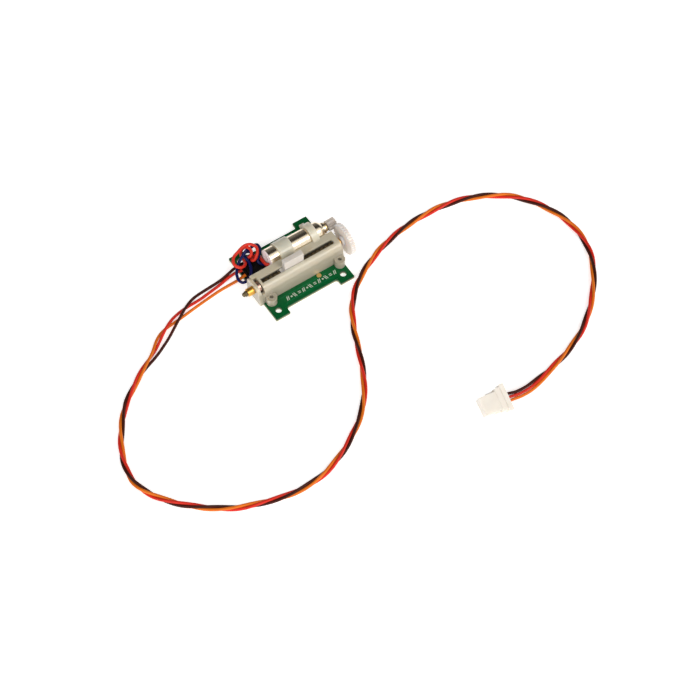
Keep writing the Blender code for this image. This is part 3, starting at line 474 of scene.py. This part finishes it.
def turned(outline, y, z, sides=64, closed=True, bulge=None):
    """A solid turned about an axis along X from (x, radius) pairs.

    A closed outline makes a ring; an open one gets a flat end at its first and last pair. bulge, if
    given, makes the radius out of (x, radius, angle).
    """

    def build(bm):
        rings = []
        for x, r in outline:
            ring = []
            for k in range(sides):
                a = 2 * math.pi * k / sides
                s = r if bulge is None else bulge(x, r, a)
                ring.append(bm.verts.new(place(x, y + s * math.cos(a), z + s * math.sin(a))))
            rings.append(ring)
        pairs = list(zip(rings, rings[1:] + rings[:1])) if closed else list(zip(rings, rings[1:]))
        for a, b in pairs:
            for k in range(sides):
                j = (k + 1) % sides
                bm.faces.new((a[k], a[j], b[j], b[k]))
        if not closed:
            bm.faces.new(rings[0])
            bm.faces.new(rings[-1])

    return mesh_from("turned", build)


def rod(x_range, y, z, radius, sides=48):
    """A plain cylinder along X."""
    return turned([(x_range[0], radius), (x_range[1], radius)], y, z, sides, closed=False)


def extruded(outline, holes, low, high, axis):
    """The flat outline less its holes, from low to high along the axis.

    The outline is in Y and Z for an axis of X, and in X and Y for one of Z.
    """
    curve = bpy.data.curves.new("outline", "CURVE")
    curve.dimensions = "2D"
    curve.fill_mode = "BOTH"
    curve.extrude = (high - low) / 2 * MM
    for ring in [outline, *holes]:
        spline = curve.splines.new("POLY")
        spline.points.add(len(ring) - 1)
        for point, (u, v) in zip(spline.points, ring):
            point.co = (u * MM, v * MM, 0, 1)
        spline.use_cyclic_u = True
    temp = bpy.data.objects.new("outline", curve)
    bpy.context.scene.collection.objects.link(temp)
    bpy.context.view_layer.update()
    deps = bpy.context.evaluated_depsgraph_get()
    data = bpy.data.meshes.new_from_object(temp.evaluated_get(deps))
    bpy.data.objects.remove(temp, do_unlink=True)
    middle = (low + high) / 2
    if axis == "X":
        turn = Matrix(((0, 0, 1, 0), (1, 0, 0, 0), (0, 1, 0, 0), (0, 0, 0, 1)))
        data.transform(Matrix.Translation(place(middle, 0, 0)) @ turn)
    else:
        data.transform(Matrix.Translation(place(0, 0, middle)))
    bm = bmesh.new()
    bm.from_mesh(data)
    bmesh.ops.remove_doubles(bm, verts=bm.verts, dist=WELD)
    bmesh.ops.recalc_face_normals(bm, faces=bm.faces)
    bm.to_mesh(data)
    bm.free()
    return data


def joined(*meshes):
    """Several meshes as one."""
    bm = bmesh.new()
    for data in meshes:
        bm.from_mesh(data)
    made = bpy.data.meshes.new("joined")
    bm.to_mesh(made)
    bm.free()
    return made


def arc(cx, cy, radius, start, end, steps):
    angles = np.radians(np.linspace(start, end, steps + 1))
    return [(cx + radius * math.cos(a), cy + radius * math.sin(a)) for a in angles]


def circle(cx, cy, radius, sides=48):
    return arc(cx, cy, radius, 0, 360, sides)[:-1]


def bar(x0, y0, x1, y1, lean=0.0):
    """The corners of an upright bar, or of one whose far end is shifted by lean."""
    return [(x0, y0), (x1, y0), (x1 + lean, y1), (x0 + lean, y1)]


def smooth_line(points, spacing):
    """Points at an even spacing on the smooth curve through the given ones."""
    steps_per_span = 24
    p = np.array(points, float)
    p = np.vstack([2 * p[0] - p[1], p, 2 * p[-1] - p[-2]])
    fine = []
    for a, b, c, d in zip(p, p[1:], p[2:], p[3:]):
        for t in np.linspace(0, 1, steps_per_span, endpoint=False):
            fine.append(0.5 * (2 * b + (c - a) * t + (2 * a - 5 * b + 4 * c - d) * t**2
                               + (3 * b - a - 3 * c + d) * t**3))
    fine = np.array([*fine, p[-2]])
    along = np.concatenate([[0], np.cumsum(np.linalg.norm(np.diff(fine, axis=0), axis=1))])
    at = np.linspace(0, along[-1], max(2, round(along[-1] / spacing) + 1))
    return np.stack([np.interp(at, along, fine[:, k]) for k in range(3)], axis=1)


def relaxed(line, until, spread):
    """The line with its kinks eased out as far as this number of points along it.

    Each point moves to the mean of its neighbours, weighted by a bell curve of this spread.
    """
    steps = np.arange(-3 * spread, 3 * spread + 1)
    weights = np.exp(-0.5 * (steps / spread) ** 2)
    weights /= weights.sum()
    count = len(line)
    at = np.arange(count)
    eased = sum(w * line[np.clip(at + k, 0, count - 1)] for w, k in zip(weights, steps))
    share = np.clip(at / (2 * spread), 0, 1) * np.clip((until - at) / (3 * spread), 0, 1)
    return line + (eased - line) * share[:, None]


def wire(name, points, diameter, material, replaces, spacing=0.3, eased=0):
    """A round insulated wire through the points; returns it and its length in metres.

    Its kinks are eased out over the first millimetres given by eased.
    """
    line = smooth_line(points, spacing)
    if eased:
        line = relaxed(line, round(eased / spacing), 4)
    curve = bpy.data.curves.new(name, "CURVE")
    curve.dimensions = "3D"
    curve.bevel_depth = diameter / 2 * MM
    curve.bevel_resolution = 4
    curve.use_fill_caps = True
    spline = curve.splines.new("POLY")
    spline.points.add(len(line) - 1)
    for point, at in zip(spline.points, line):
        point.co = (*place(*at), 1)
    spline.use_smooth = True
    obj = piece(name, curve, material, replaces=replaces)
    return obj, float(np.linalg.norm(np.diff(line, axis=0), axis=1).sum()) * MM


# ---------------------------------------------------------------- circuit board

def board():
    """The board with its four ears; its flat faces have a mask and its edges are bare."""
    half_x, half_y, ear, depth, fillet = 9.2, 7.35, 3.2, 1.4, 0.6
    inner = half_x - ear
    corner = arc(inner - fillet, half_y + fillet, fillet, 270, 360, 10)
    corner += [(inner, half_y + depth), (half_x, half_y + depth)]
    right = [(x, -y) for x, y in corner] + corner[::-1]
    outline = right + [(-x, -y) for x, y in right]
    holes = [circle(sx * HOLE_X, sy * HOLE_Y, HOLE_R, 40) for sx in (-1, 1) for sy in (-1, 1)]
    data = extruded(outline, holes, 0, BOARD_T, "Z")
    piece("board_laminate", data, [MASK, LAMINATE], replaces=("circuit_board",),
          bevel=0.04, sharp=40)
    for face in data.polygons:
        face.material_index = 0 if abs(face.normal.z) > 0.5 else 1


def strip(points, width, low, high):
    """A flat strip that follows the points across the board."""
    p = np.array(points, float)
    d = np.gradient(p, axis=0)
    d /= np.linalg.norm(d, axis=1)[:, None]
    side = np.stack([-d[:, 1], d[:, 0]], axis=1) * width / 2
    outline = [tuple(v) for v in p + side] + [tuple(v) for v in (p - side)[::-1]]
    return extruded(outline, [], low, high, "Z")


TRACES = [
    [(-8.7, 2.2), (-8.7, -2.9), (-6.6, -5.0), (-5.9, -5.0), (5.2, -5.0)],
    [(-5.6, -6.9), (-5.0, -6.5), (4.9, -6.5), (5.6, -6.9)],
    [(3.4, -4.9), (4.4, -5.9), (6.4, -5.9), (8.7, -3.6), (8.7, 4.9)],
    [(-3.7, 4.9), (-3.0, 6.2), (1.4, 6.2)],
    [(-3.7, 4.2), (-2.6, 5.0), (-1.2, 5.5)],
    [(2.8, 6.35), (3.3, 6.35)],
    [(4.6, 6.35), (5.6, 5.6), (5.6, 3.6), (4.8, 3.0)],
    [(8.1, 4.6), (8.1, 1.0), (7.3, 0.2)],
    [(-5.5, 6.9), (4.6, 6.9), (6.4, 5.3), (6.4, 2.4)],
]
VIAS = [(8.7, 4.9), (1.4, 6.2), (6.4, 2.4), (7.3, 0.2), (0.9, 7.0), (-2.2, 5.6), (8.1, 4.6)]


def board_detail():
    """Traces and vias, and plain white marks on the board's upper face."""
    top = BOARD_T
    traces = [strip(points, 0.16, top + 0.001, top + 0.016) for points in TRACES]
    piece("mask_traces", joined(*traces), MASK_TRACE)
    under = [strip([(x, y * 0.86) for x, y in points], 0.2, -0.012, -0.001)
             for points in TRACES[:4]]
    piece("mask_traces_below", joined(*under), MASK_TRACE)
    rings = [extruded(circle(x, y, 0.2, 20), [circle(x, y, 0.09, 14)], top + 0.002, top + 0.026,
                      "Z") for x, y in VIAS]
    piece("via_rings", joined(*rings), GOLD)

    # Slanted strokes, dots and dashes along the front edge, and outlines round the chips. None of
    # them is a letter or a figure.
    shapes = []
    y0, y1 = -6.25, -5.35
    for k, x in enumerate(np.arange(-5.0, 6.4, 0.92)):
        lean = 0.26 if k % 4 == 0 else -0.26
        if k % 2 == 0:
            for dx in (0.0, 0.34):
                shapes.append((bar(x + dx, y0, x + dx + 0.17, y1, lean), []))
        elif k % 4 == 1:
            shapes.append((circle(x + 0.3, (y0 + y1) / 2, 0.2, 20), []))
        else:
            for dy in (0.2, 0.55):
                shapes.append((bar(x, y0 + dy, x + 0.6, y0 + dy + 0.16), []))
    line = 0.09
    for x0, y0, x1, y1 in ((-8.2, 0.62, -3.7, 5.45), (2.05, 2.35, 4.85, 5.65),
                           (1.35, 5.9, 2.85, 6.8), (3.15, 5.9, 4.65, 6.8)):
        shapes.append((bar(x0, y0, x1, y1), [bar(x0 + line, y0 + line, x1 - line, y1 - line)]))
    marks = [extruded(outline, holes, top + 0.002, top + 0.02, "Z") for outline, holes in shapes]
    piece("board_marks", joined(*marks), SILK)


def solder_dome(x, y, radius, height):
    """A drop of solder that rises smoothly from its pad."""
    rings, sides = 7, 28

    def build(bm):
        loops = []
        for i in range(rings):
            t = i / (rings - 1)
            r = radius * (1 - t) ** 0.6 * (1 - 0.35 * t) + 0.02
            z = BOARD_T + 0.015 + height * t**0.9
            loops.append([bm.verts.new(place(x + r * math.cos(a), y + r * math.sin(a), z))
                          for a in np.linspace(0, 2 * math.pi, sides, endpoint=False)])
        for a, b in zip(loops, loops[1:]):
            for k in range(sides):
                j = (k + 1) % sides
                bm.faces.new((a[k], a[j], b[j], b[k]))
        bm.faces.new(loops[0])
        bm.faces.new(loops[-1])

    return mesh_from("dome", build)


def board_parts():
    """Chips, capacitors and a resistor, a sheet round the control chip, and the solder joints; the
    sheet and the joints are black as painted shade.
    """
    base = BOARD_T + 0.02
    pad_half, pad_reach, pad_height = 0.12, 0.1, 0.2

    def chip(name, node, low, high, pads_per_side, dot):
        body = block(low, high)
        pit = extruded(circle(*dot, 0.2, 20), [], high[2] - 0.04, high[2] + 1, "Z")
        piece(name, carve(body, ("DIFFERENCE", pit)), EPOXY_AND_SHADE, replaces=(node,),
              bevel=0.05)
        pads = []
        for out, along in ((0, 1), (1, 0)):
            for edge, reach in ((low[out], -pad_reach), (high[out], pad_reach)):
                for k in range(pads_per_side):
                    at = low[along] + (high[along] - low[along]) * (k + 0.5) / pads_per_side
                    near, far = [0, 0], [0, 0]
                    near[out], far[out] = min(edge, edge + reach), max(edge, edge + reach)
                    near[along], far[along] = at - pad_half, at + pad_half
                    pads.append(block((*near, base - 0.01), (*far, base + pad_height)))
        # The pads use the near-black solder: painted shade.
        piece(f"{name}_pads", joined(*pads), JOINT_IN_SHADE, bevel=0.02)

    chip("controller", "control_chip", (-7.95, 0.85, base), (-3.95, 5.2, base + 0.85), 7,
         (-7.4, 1.4))
    chip("driver", "bridge_chip", (2.3, 2.6, base), (4.6, 5.4, base + 0.75), 4, (2.8, 3.1))

    def passive(name, node, low, high, material):
        end = (high[0] - low[0]) * 0.24
        lap = 0.01
        body = block((low[0] + end, low[1] + lap, low[2]),
                     (high[0] - end, high[1] - lap, high[2] - lap))
        piece(name, body, material, replaces=(node,), bevel=0.03)
        ends = joined(block(low, (low[0] + end + lap, high[1], high[2])),
                      block((high[0] - end - lap, low[1], low[2]), high))
        piece(f"{name}_ends", ends, SOLDER, bevel=0.05, segments=3)

    passive("bypass_cap", "bypass_capacitor", (-1.0, 5.1, base), (0.6, 5.9, base + 0.6), CERAMIC)
    passive("filter_cap", "filter_capacitor", (1.6, 6.1, base), (2.6, 6.6, base + 0.45), CERAMIC)
    passive("timing_res", "timing_resistor", (3.4, 6.1, base), (4.4, 6.6, base + 0.3), ALUMINA)
    # A thin black sheet round the control chip and under the leads' joints: painted shade on the
    # board.
    shade_sheet = [(-9.1, 1.6), (-8.4, 0.5), (-3.9, 0.45), (-3.7, 5.4), (-5.2, 6.3), (-8.8, 6.5),
            (-9.12, 5.9)]
    piece("painted_shade_sheet", extruded(shade_sheet, [], BOARD_T + 0.015, BOARD_T + 0.24, "Z"), EPOXY_AND_SHADE,
          bevel=0.1)
    # The wire joints use the near-black solder: painted shade.
    for lead, y in (("signal", 3.2), ("power", 4.5), ("ground", 5.8)):
        piece(f"joint_{lead}", solder_dome(-8.62, y, 0.44, 0.36), JOINT_IN_SHADE,
              replaces=(f"solder_{lead}",))
    for lead, route in (("red", MOTOR_LEAD_RED), ("blue", MOTOR_LEAD_BLUE)):
        piece(f"joint_motor_{lead}", solder_dome(route[-1][0], route[-1][1], 0.42, 0.34), JOINT_IN_SHADE,
              replaces=(f"solder_motor_{lead}",))


# ---------------------------------------------------------------- moulded frame

def frame_moulding():
    """The frame of the CAD model, with finer arcs and rounded edges."""
    tube_r, end_r = 1.55, 1.75
    body = extruded(arc(-2.4, FRAME_TOP - tube_r, tube_r, 90, 170, 20)
                    + [(-4.2, FRAME_BASE), (0.3, FRAME_BASE), (0.3, FRAME_TOP)], [], -9.6, 9.75,
                    "X")
    end = extruded(arc(-2.3, FRAME_TOP - end_r, end_r, 80, 175, 20)
                   + [(-4.4, FRAME_BASE), (0.45, FRAME_BASE), (0.35, FRAME_TOP - 0.6),
                      (-0.4, FRAME_TOP - 0.02)], [], -10.15, -9.4, "X")
    steps = [("UNION", end)]
    for x, y in BOSSES:
        boss = extruded(circle(x, y, BOSS_R, 40), [], FRAME_BASE, BOARD_T + 1.9, "Z")
        web = block((x - 0.8, y, FRAME_BASE), (x + 0.8, -3.0, BOARD_T + 1.8))
        steps += [("UNION", boss), ("UNION", web)]

    # Two clips hold the motor, each a ring on a foot. The right one has a lug, and a rib joins
    # both to the tube.
    foot = 1.35
    for low, high, radius in ((-2.0, 1.1, 2.35), (5.3, 6.8, 2.6)):
        half = math.degrees(math.asin(foot / radius))
        ring = arc(MOTOR_Y, MOTOR_Z, radius, -90 + half, 270 - half, 72)
        ring += [(MOTOR_Y - foot, FRAME_BASE), (MOTOR_Y + foot, FRAME_BASE)]
        steps.append(("UNION", extruded(ring, [], low, high, "X")))
    steps.append(("UNION", rod((5.2, 6.2), MOTOR_Y + 2.4, MOTOR_Z + 0.65, 0.45, 32)))
    steps.append(("UNION", block((-2.0, -0.1, FRAME_BASE), (6.8, 1.2, BOARD_T + 1.5))))

    # The nut's channel and the post's slot above it start at the same place.
    start = -8.2
    front, back = CHANNEL_Y
    channel = arc(front + CHANNEL_R, CHANNEL_TOP - CHANNEL_R, CHANNEL_R, 90, 180, 14)
    channel += [(front, 0), (back, 0), (back, CHANNEL_TOP)]
    stop, half, corner = 8.7, 0.6, 0.45
    slot = [(start, SCREW_Y + half), (start, SCREW_Y - half)]
    slot += arc(stop - corner, SCREW_Y - half + corner, corner, 270, 360, 8)
    slot += arc(stop - corner, SCREW_Y + half - corner, corner, 0, 90, 8)
    pocket = (-9.5, -8.65)
    steps += [
        ("DIFFERENCE", extruded(channel, [], start, 8.85, "X")),
        ("DIFFERENCE", extruded(slot, [], BOARD_T + 3, BOARD_T + 6, "Z")),
        ("DIFFERENCE", block((pocket[0], -5.0, SCREW_Z - 0.1), (pocket[1], -0.55, FRAME_TOP + 1))),
        ("DIFFERENCE", rod(pocket, SCREW_Y, SCREW_Z, 1.4)),
        ("DIFFERENCE", rod((-11.2, 10.8), SCREW_Y, SCREW_Z, 0.72)),
        ("DIFFERENCE", rod((-5.3, 10.8), MOTOR_Y, MOTOR_Z, CAN_R + 0.04, 72)),
    ]
    for x, y in BOSSES:
        pilot = extruded(circle(x, y, PILOT_R, 28), [], BOARD_T + 1.2, BOARD_T + 3, "Z")
        steps.append(("DIFFERENCE", pilot))
    piece("frame_moulding", carve(body, *steps), NYLON, replaces=("main_frame",),
          bevel=0.09, segments=3, sharp=32)


# ---------------------------------------------------------------- gears, screw and bushes

def involute(angle):
    return math.tan(angle) - angle


def gear_outline(teeth, shift, phase, y, z):
    """A profile-shifted involute gear's outline in Y and Z, with a tooth at the phase."""
    pitch_r = MODULE * teeth / 2
    base_r = pitch_r * math.cos(PRESSURE_ANGLE)
    tip_r = pitch_r + MODULE * (1 + shift)
    root_r = pitch_r - MODULE * (1.25 - shift)
    thickness = MODULE * (math.pi / 2 + 2 * shift * math.tan(PRESSURE_ANGLE)) - BACKLASH
    half = thickness / (2 * pitch_r)

    def half_angle(radius):
        angle = math.acos(min(1, base_r / max(radius, base_r)))
        return half + involute(PRESSURE_ANGLE) - involute(angle)

    flank = [root_r, *np.linspace(max(root_r, base_r), tip_r, 7)]
    points = []
    for tooth in range(teeth):
        middle = phase + 2 * math.pi * tooth / teeth
        sides = [(r, middle - half_angle(r)) for r in flank]
        sides += [(r, middle + half_angle(r)) for r in flank[::-1]]
        points += [(y + r * math.cos(a), z + r * math.sin(a)) for r, a in sides]
    return points


def gears():
    spur = extruded(gear_outline(SPUR_TEETH, -PROFILE_SHIFT, GEAR_RISE, SCREW_Y, SCREW_Z),
                    [circle(SCREW_Y, SCREW_Z, JOURNAL_R + 0.02, 32)], 11.0, 12.0, "X")
    dish = turned([(11.75, 2.55), (12.5, 2.6), (12.5, 1.2), (11.75, 1.2)], SCREW_Y, SCREW_Z)
    piece("spur_wheel", carve(spur, ("DIFFERENCE", dish)), GEAR_WHITE, SCREW, ("spur_gear",),
          bevel=0.06, segments=3, sharp=30)
    hub = turned([(10.97, 1.1), (10.45, 1.1), (10.35, 1.0), (10.35, 0.47), (10.97, 0.47)],
                 SCREW_Y, SCREW_Z)
    piece("spur_hub", hub, GEAR_WHITE, SCREW, ("gear_hub",), bevel=0.04)
    phase = math.pi + GEAR_RISE + math.pi / PINION_TEETH
    pinion = extruded(gear_outline(PINION_TEETH, PROFILE_SHIFT, phase, MOTOR_Y, MOTOR_Z),
                      [circle(MOTOR_Y, MOTOR_Z, 0.32, 28)], 9.95, 11.9, "X")
    piece("pinion_gear", pinion, PINION_GREY, ROTOR, ("pinion",), bevel=0.03,
          sharp=30)


def screw():
    """The lead screw, whose right-handed thread fades out at both ends, and its thrust collar."""
    rings_per_turn, run_out, crest = 16, 0.5, 0.7
    count = round((THREAD_X[1] - THREAD_X[0]) / SCREW_LEAD * rings_per_turn)
    xs = np.linspace(*THREAD_X, count + 1)
    outline = [(-12.6, 0.3), (-12.5, 0.42), (-12.3, JOURNAL_R), (-12.05, JOURNAL_R), (-12.05, 0.57),
               (-12.0, 0.6), (-11.75, 0.6), (-11.7, 0.57), (-11.7, JOURNAL_R),
               (THREAD_X[0] - 0.1, JOURNAL_R)]
    outline += [(x, THREAD_MEAN_R) for x in xs]
    outline += [(THREAD_X[1] + 0.1, JOURNAL_R), (11.85, JOURNAL_R), (12.0, 0.34)]

    def bulge(x, r, angle):
        if r < THREAD_MEAN_R:
            return r
        wave = math.cos(angle - 2 * math.pi * x / SCREW_LEAD)
        fade = min(1, (x - THREAD_X[0]) / run_out + 0.05, (THREAD_X[1] - x) / run_out + 0.05)
        return r + THREAD_DEPTH * fade * math.copysign(abs(wave) ** crest, wave)

    data = turned(outline, SCREW_Y, SCREW_Z, 36, closed=False, bulge=bulge)
    piece("screw_thread", data, DARK_STEEL, SCREW, ("lead_screw",), sharp=50)
    collar = turned([(-8.78, 1.16), (-8.82, 1.2), (-9.0, 1.2), (-9.04, 1.12), (-9.12, 1.12),
                     (-9.16, 1.2), (-9.33, 1.2), (-9.37, 1.16), (-9.37, 0.47), (-8.78, 0.47)],
                    SCREW_Y, SCREW_Z)
    piece("screw_collar", collar, BRONZE, SCREW, ("thrust_collar",), sharp=30)


def bushes():
    left = turned([(-9.55, 0.7), (-10.2, 0.7), (-10.2, 0.82), (-10.23, 0.85), (-11.47, 0.85),
                   (-11.6, 0.75), (-11.6, 0.5), (-9.55, 0.5)], SCREW_Y, SCREW_Z)
    piece("bush_left", left, BRASS, replaces=("left_bush",), sharp=25)
    right = turned([(10.2, 0.5), (10.2, 0.86), (10.16, 0.9), (9.84, 0.9), (9.8, 0.86), (9.8, 0.7),
                    (8.9, 0.7), (8.9, 0.5)], SCREW_Y, SCREW_Z)
    piece("bush_right", right, BRASS, replaces=("right_bush",), sharp=25)


def slider():
    """The nut with its post, clear of the frame's channel by the gap."""
    gap = 0.07
    front, back, top = CHANNEL_Y[0] + gap, CHANNEL_Y[1] - gap, CHANNEL_TOP - gap
    radius = CHANNEL_R - gap / 2
    nut = extruded(arc(front + radius, top - radius, radius, 90, 180, 12)
                   + [(front, BOARD_T + 1.2), (back, BOARD_T + 1.2), (back, top)], [], -3.7, 1.6,
                   "X")
    post = block((-3.0, SCREW_Y - 0.53, BOARD_T + 3.2), (1.4, SCREW_Y + 0.53, BOARD_T + 6.7))
    bore = rod((-5, 3), SCREW_Y, SCREW_Z, THREAD_MEAN_R + THREAD_DEPTH + 0.05)
    piece("slider_block", carve(nut, ("UNION", post), ("DIFFERENCE", bore)), WHITE, CARRIAGE,
          ("slider",), bevel=0.24, segments=5, sharp=40)


# ---------------------------------------------------------------- motor

def motor():
    """The can, its end cap with a notch for each lead, its nose and its front bearing."""
    y, z = MOTOR_Y, MOTOR_Z
    can = [(8.75, 0.62), (8.75, 1.35), (8.72, 1.41), (8.45, 1.65), (8.2, 1.83), (8.02, 1.94),
           (7.85, 1.99), (7.7, 2.0), (-4.08, 2.0), (-4.12, 1.97), (-4.12, 1.8), (7.9, 1.8),
           (8.3, 1.4), (8.3, 0.62)]
    piece("can_shell", turned(can, y, z, 96), STEEL, replaces=("motor_can",),
          sharp=28)
    cap = turned([(-3.6, 1.77), (-4.14, 1.77), (-4.14, 1.99), (-4.18, 2.0), (-4.22, 1.99),
                  (-4.25, 1.93), (-4.25, 1.2), (-4.18, 1.1), (-4.18, 0.75), (-4.25, 0.7),
                  (-4.25, 0.4), (-3.6, 0.4)], y, z, 72)
    notch = 0.3
    notches = [("DIFFERENCE", block((-5.3, lead[0][1] - notch, lead[0][2] - notch),
                                    (-4.0, lead[0][1] + notch, lead[0][2] + notch)))
               for lead in (MOTOR_LEAD_RED, MOTOR_LEAD_BLUE)]
    piece("motor_cap", carve(cap, *notches), CAP_PLASTIC, replaces=("motor_end_cap",),
          bevel=0.04, sharp=30)
    nose = [(9.3, 0.62), (9.3, 1.12), (9.27, 1.18), (9.2, 1.25), (8.8, 1.25), (8.77, 1.22),
            (8.77, 0.62)]
    piece("motor_nose", turned(nose, y, z, 72), STEEL, replaces=("front_collar",),
          sharp=28)
    bearing = [(9.7, 0.35), (9.7, 0.86), (9.67, 0.92), (9.58, 0.99), (9.35, 1.0), (9.32, 0.97),
               (9.32, 0.58), (7.6, 0.58), (7.6, 0.35)]
    piece("motor_bearing", turned(bearing, y, z, 56), BEARING, replaces=("front_bearing",),
          sharp=25)


# ---------------------------------------------------------------- leads and plug

def twisted_leads():
    """The three wires of the lead, apart at first, then twisted, then flat into the plug."""
    centre = smooth_line(BUNDLE_ROUTE, 0.5)
    along = np.concatenate([[0], np.cumsum(np.linalg.norm(np.diff(centre, axis=0), axis=1))])
    ahead = np.gradient(centre, axis=0)
    ahead /= np.linalg.norm(ahead, axis=1)[:, None]
    left = np.cross([0, 0, 1], ahead)
    left /= np.linalg.norm(left, axis=1)[:, None]
    up = np.cross(ahead, left)
    plug = plug_frame()
    across = np.array(plug.col[1][:3])
    flat = np.clip((along - (along[-1] - FLAT_BEFORE_END)) / FLAT_OVER, 0, 1)
    flat = flat * flat * (3 - 2 * flat)
    knots = np.arange(len(TWIST_PHASES)) * TWIST_STEP
    turn = np.radians(np.interp(along, knots, TWIST_PHASES))
    side_gap, clear = 0.02, 0.01
    made = {}
    for k, (lead, stub, side) in enumerate((("signal", SIGNAL_WIRE, 1), ("power", POWER_WIRE, 0),
                                            ("ground", GROUND_WIRE, -1))):
        phase = turn + k * 2 * math.pi / 3
        twist = TWIST_R * (np.cos(phase)[:, None] * left + np.sin(phase)[:, None] * up)
        level = side * (LEAD_D + side_gap) * across
        line = centre + twist * (1 - flat[:, None]) + level * flat[:, None]
        line[:, 2] = np.maximum(line[:, 2], LEAD_D / 2 + clear)
        start = int(np.searchsorted(along, TWIST_FROM))
        inside = [np.array(plug @ Vector((x * MM, side * s * MM, 0))) / MM - [BOARD_X, 0, 0]
                  for x, s in ((0.5, 0.8), (1.3, PIN_PITCH))]
        made[lead] = [*stub, *line[start:-2:2], *inside]
    return made


def plug_frame():
    """The plug's own frame: X from the wires to its nose, Y across its contacts."""
    return (Matrix.Translation(place(*PLUG_REAR)) @ Matrix.Rotation(PLUG_YAW, 4, "Z")
            @ Matrix.Rotation(PLUG_ROLL, 4, "X"))


def plug():
    """The housing and its three contacts."""
    at = plug_frame()
    body = block((0, -2.75, -1.5), (0.9, 2.75, 1.5), at)
    steps = [("UNION", block((0.5, -2.35, -1.35), (2.0, 2.35, 1.3), at)),
             ("UNION", block((1.5, -1.85, -1.2), (PLUG_LENGTH, 1.85, 1.2), at)),
             ("UNION", block((2.0, -2.15, -0.9), (3.6, -1.8, -0.2), at)),
             ("UNION", block((2.0, 1.8, -0.9), (3.6, 2.15, -0.2), at)),
             ("DIFFERENCE", block((-1, -1.4, -0.42), (0.6, 1.4, 0.42), at))]
    for side in (-1, 0, 1):
        y = side * PIN_PITCH
        bore = block((-1, y - 0.4, -0.45), (PLUG_LENGTH + 1, y + 0.4, 0.45), at)
        window = block((3.0, y - 0.25, 0.3), (4.0, y + 0.25, 2), at)
        steps += [("DIFFERENCE", bore), ("DIFFERENCE", window)]
    housing = piece("plug_housing", carve(body, *steps), PLUG_WHITE,
                    replaces=("connector_housing",), bevel=0.1, segments=3,
                    sharp=40)
    terminals = []
    for k, side in enumerate((-1, 0, 1)):
        y = side * PIN_PITCH
        shell = block((1.0, y - 0.3, -0.35), (5.2, y + 0.3, 0.35), at)
        slit = block((2.2, y - 0.14, -0.18), (6, y + 0.14, 0.18), at)
        terminals.append(piece(f"contact_{k + 1}", carve(shell, ("DIFFERENCE", slit)), CONTACT,
                               replaces=(f"terminal_{k + 1}",), bevel=0.03))
    return [housing, *terminals]


def leads():
    """The motor's two leads, the plug, and the three cords that end in it."""
    for colour, route in (("red", MOTOR_LEAD_RED), ("blue", MOTOR_LEAD_BLUE)):
        wire(f"motor_wire_{colour}", route, MOTOR_LEAD_D, WIRES[f"motor_{colour}"],
             (f"motor_lead_{colour}",), MOTOR_LEAD_SPACING)
    on_the_end = plug()
    routes = twisted_leads()
    for lead, points in routes.items():
        obj, length = wire(f"wire_{lead}", points, LEAD_D, WIRES[lead],
                           (f"lead_{lead}", "lead_bundle"), eased=KINKS_EASED)
        print(f"{obj.name} {length:.4f} m")


def cad_finishes():
    """Materials for the CAD nodes that are shown as they are."""
    finishes = {"resistive_track": CARBON, "collector_track": GOLD, "track_pad": GOLD,
                "wiper": BRONZE, "stator_magnet": MAGNET, "rotor_coil": COPPER,
                "commutator": GOLD, "motor_shaft": DARK_STEEL, "brush_positive": CONTACT,
                "brush_negative": CONTACT}
    for node, made in finishes.items():
        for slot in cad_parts[node].material_slots:
            slot.material = made


set_the_stage()
board()
board_detail()
board_parts()
frame_moulding()
gears()
screw()
bushes()
slider()
motor()
leads()
cad_finishes()
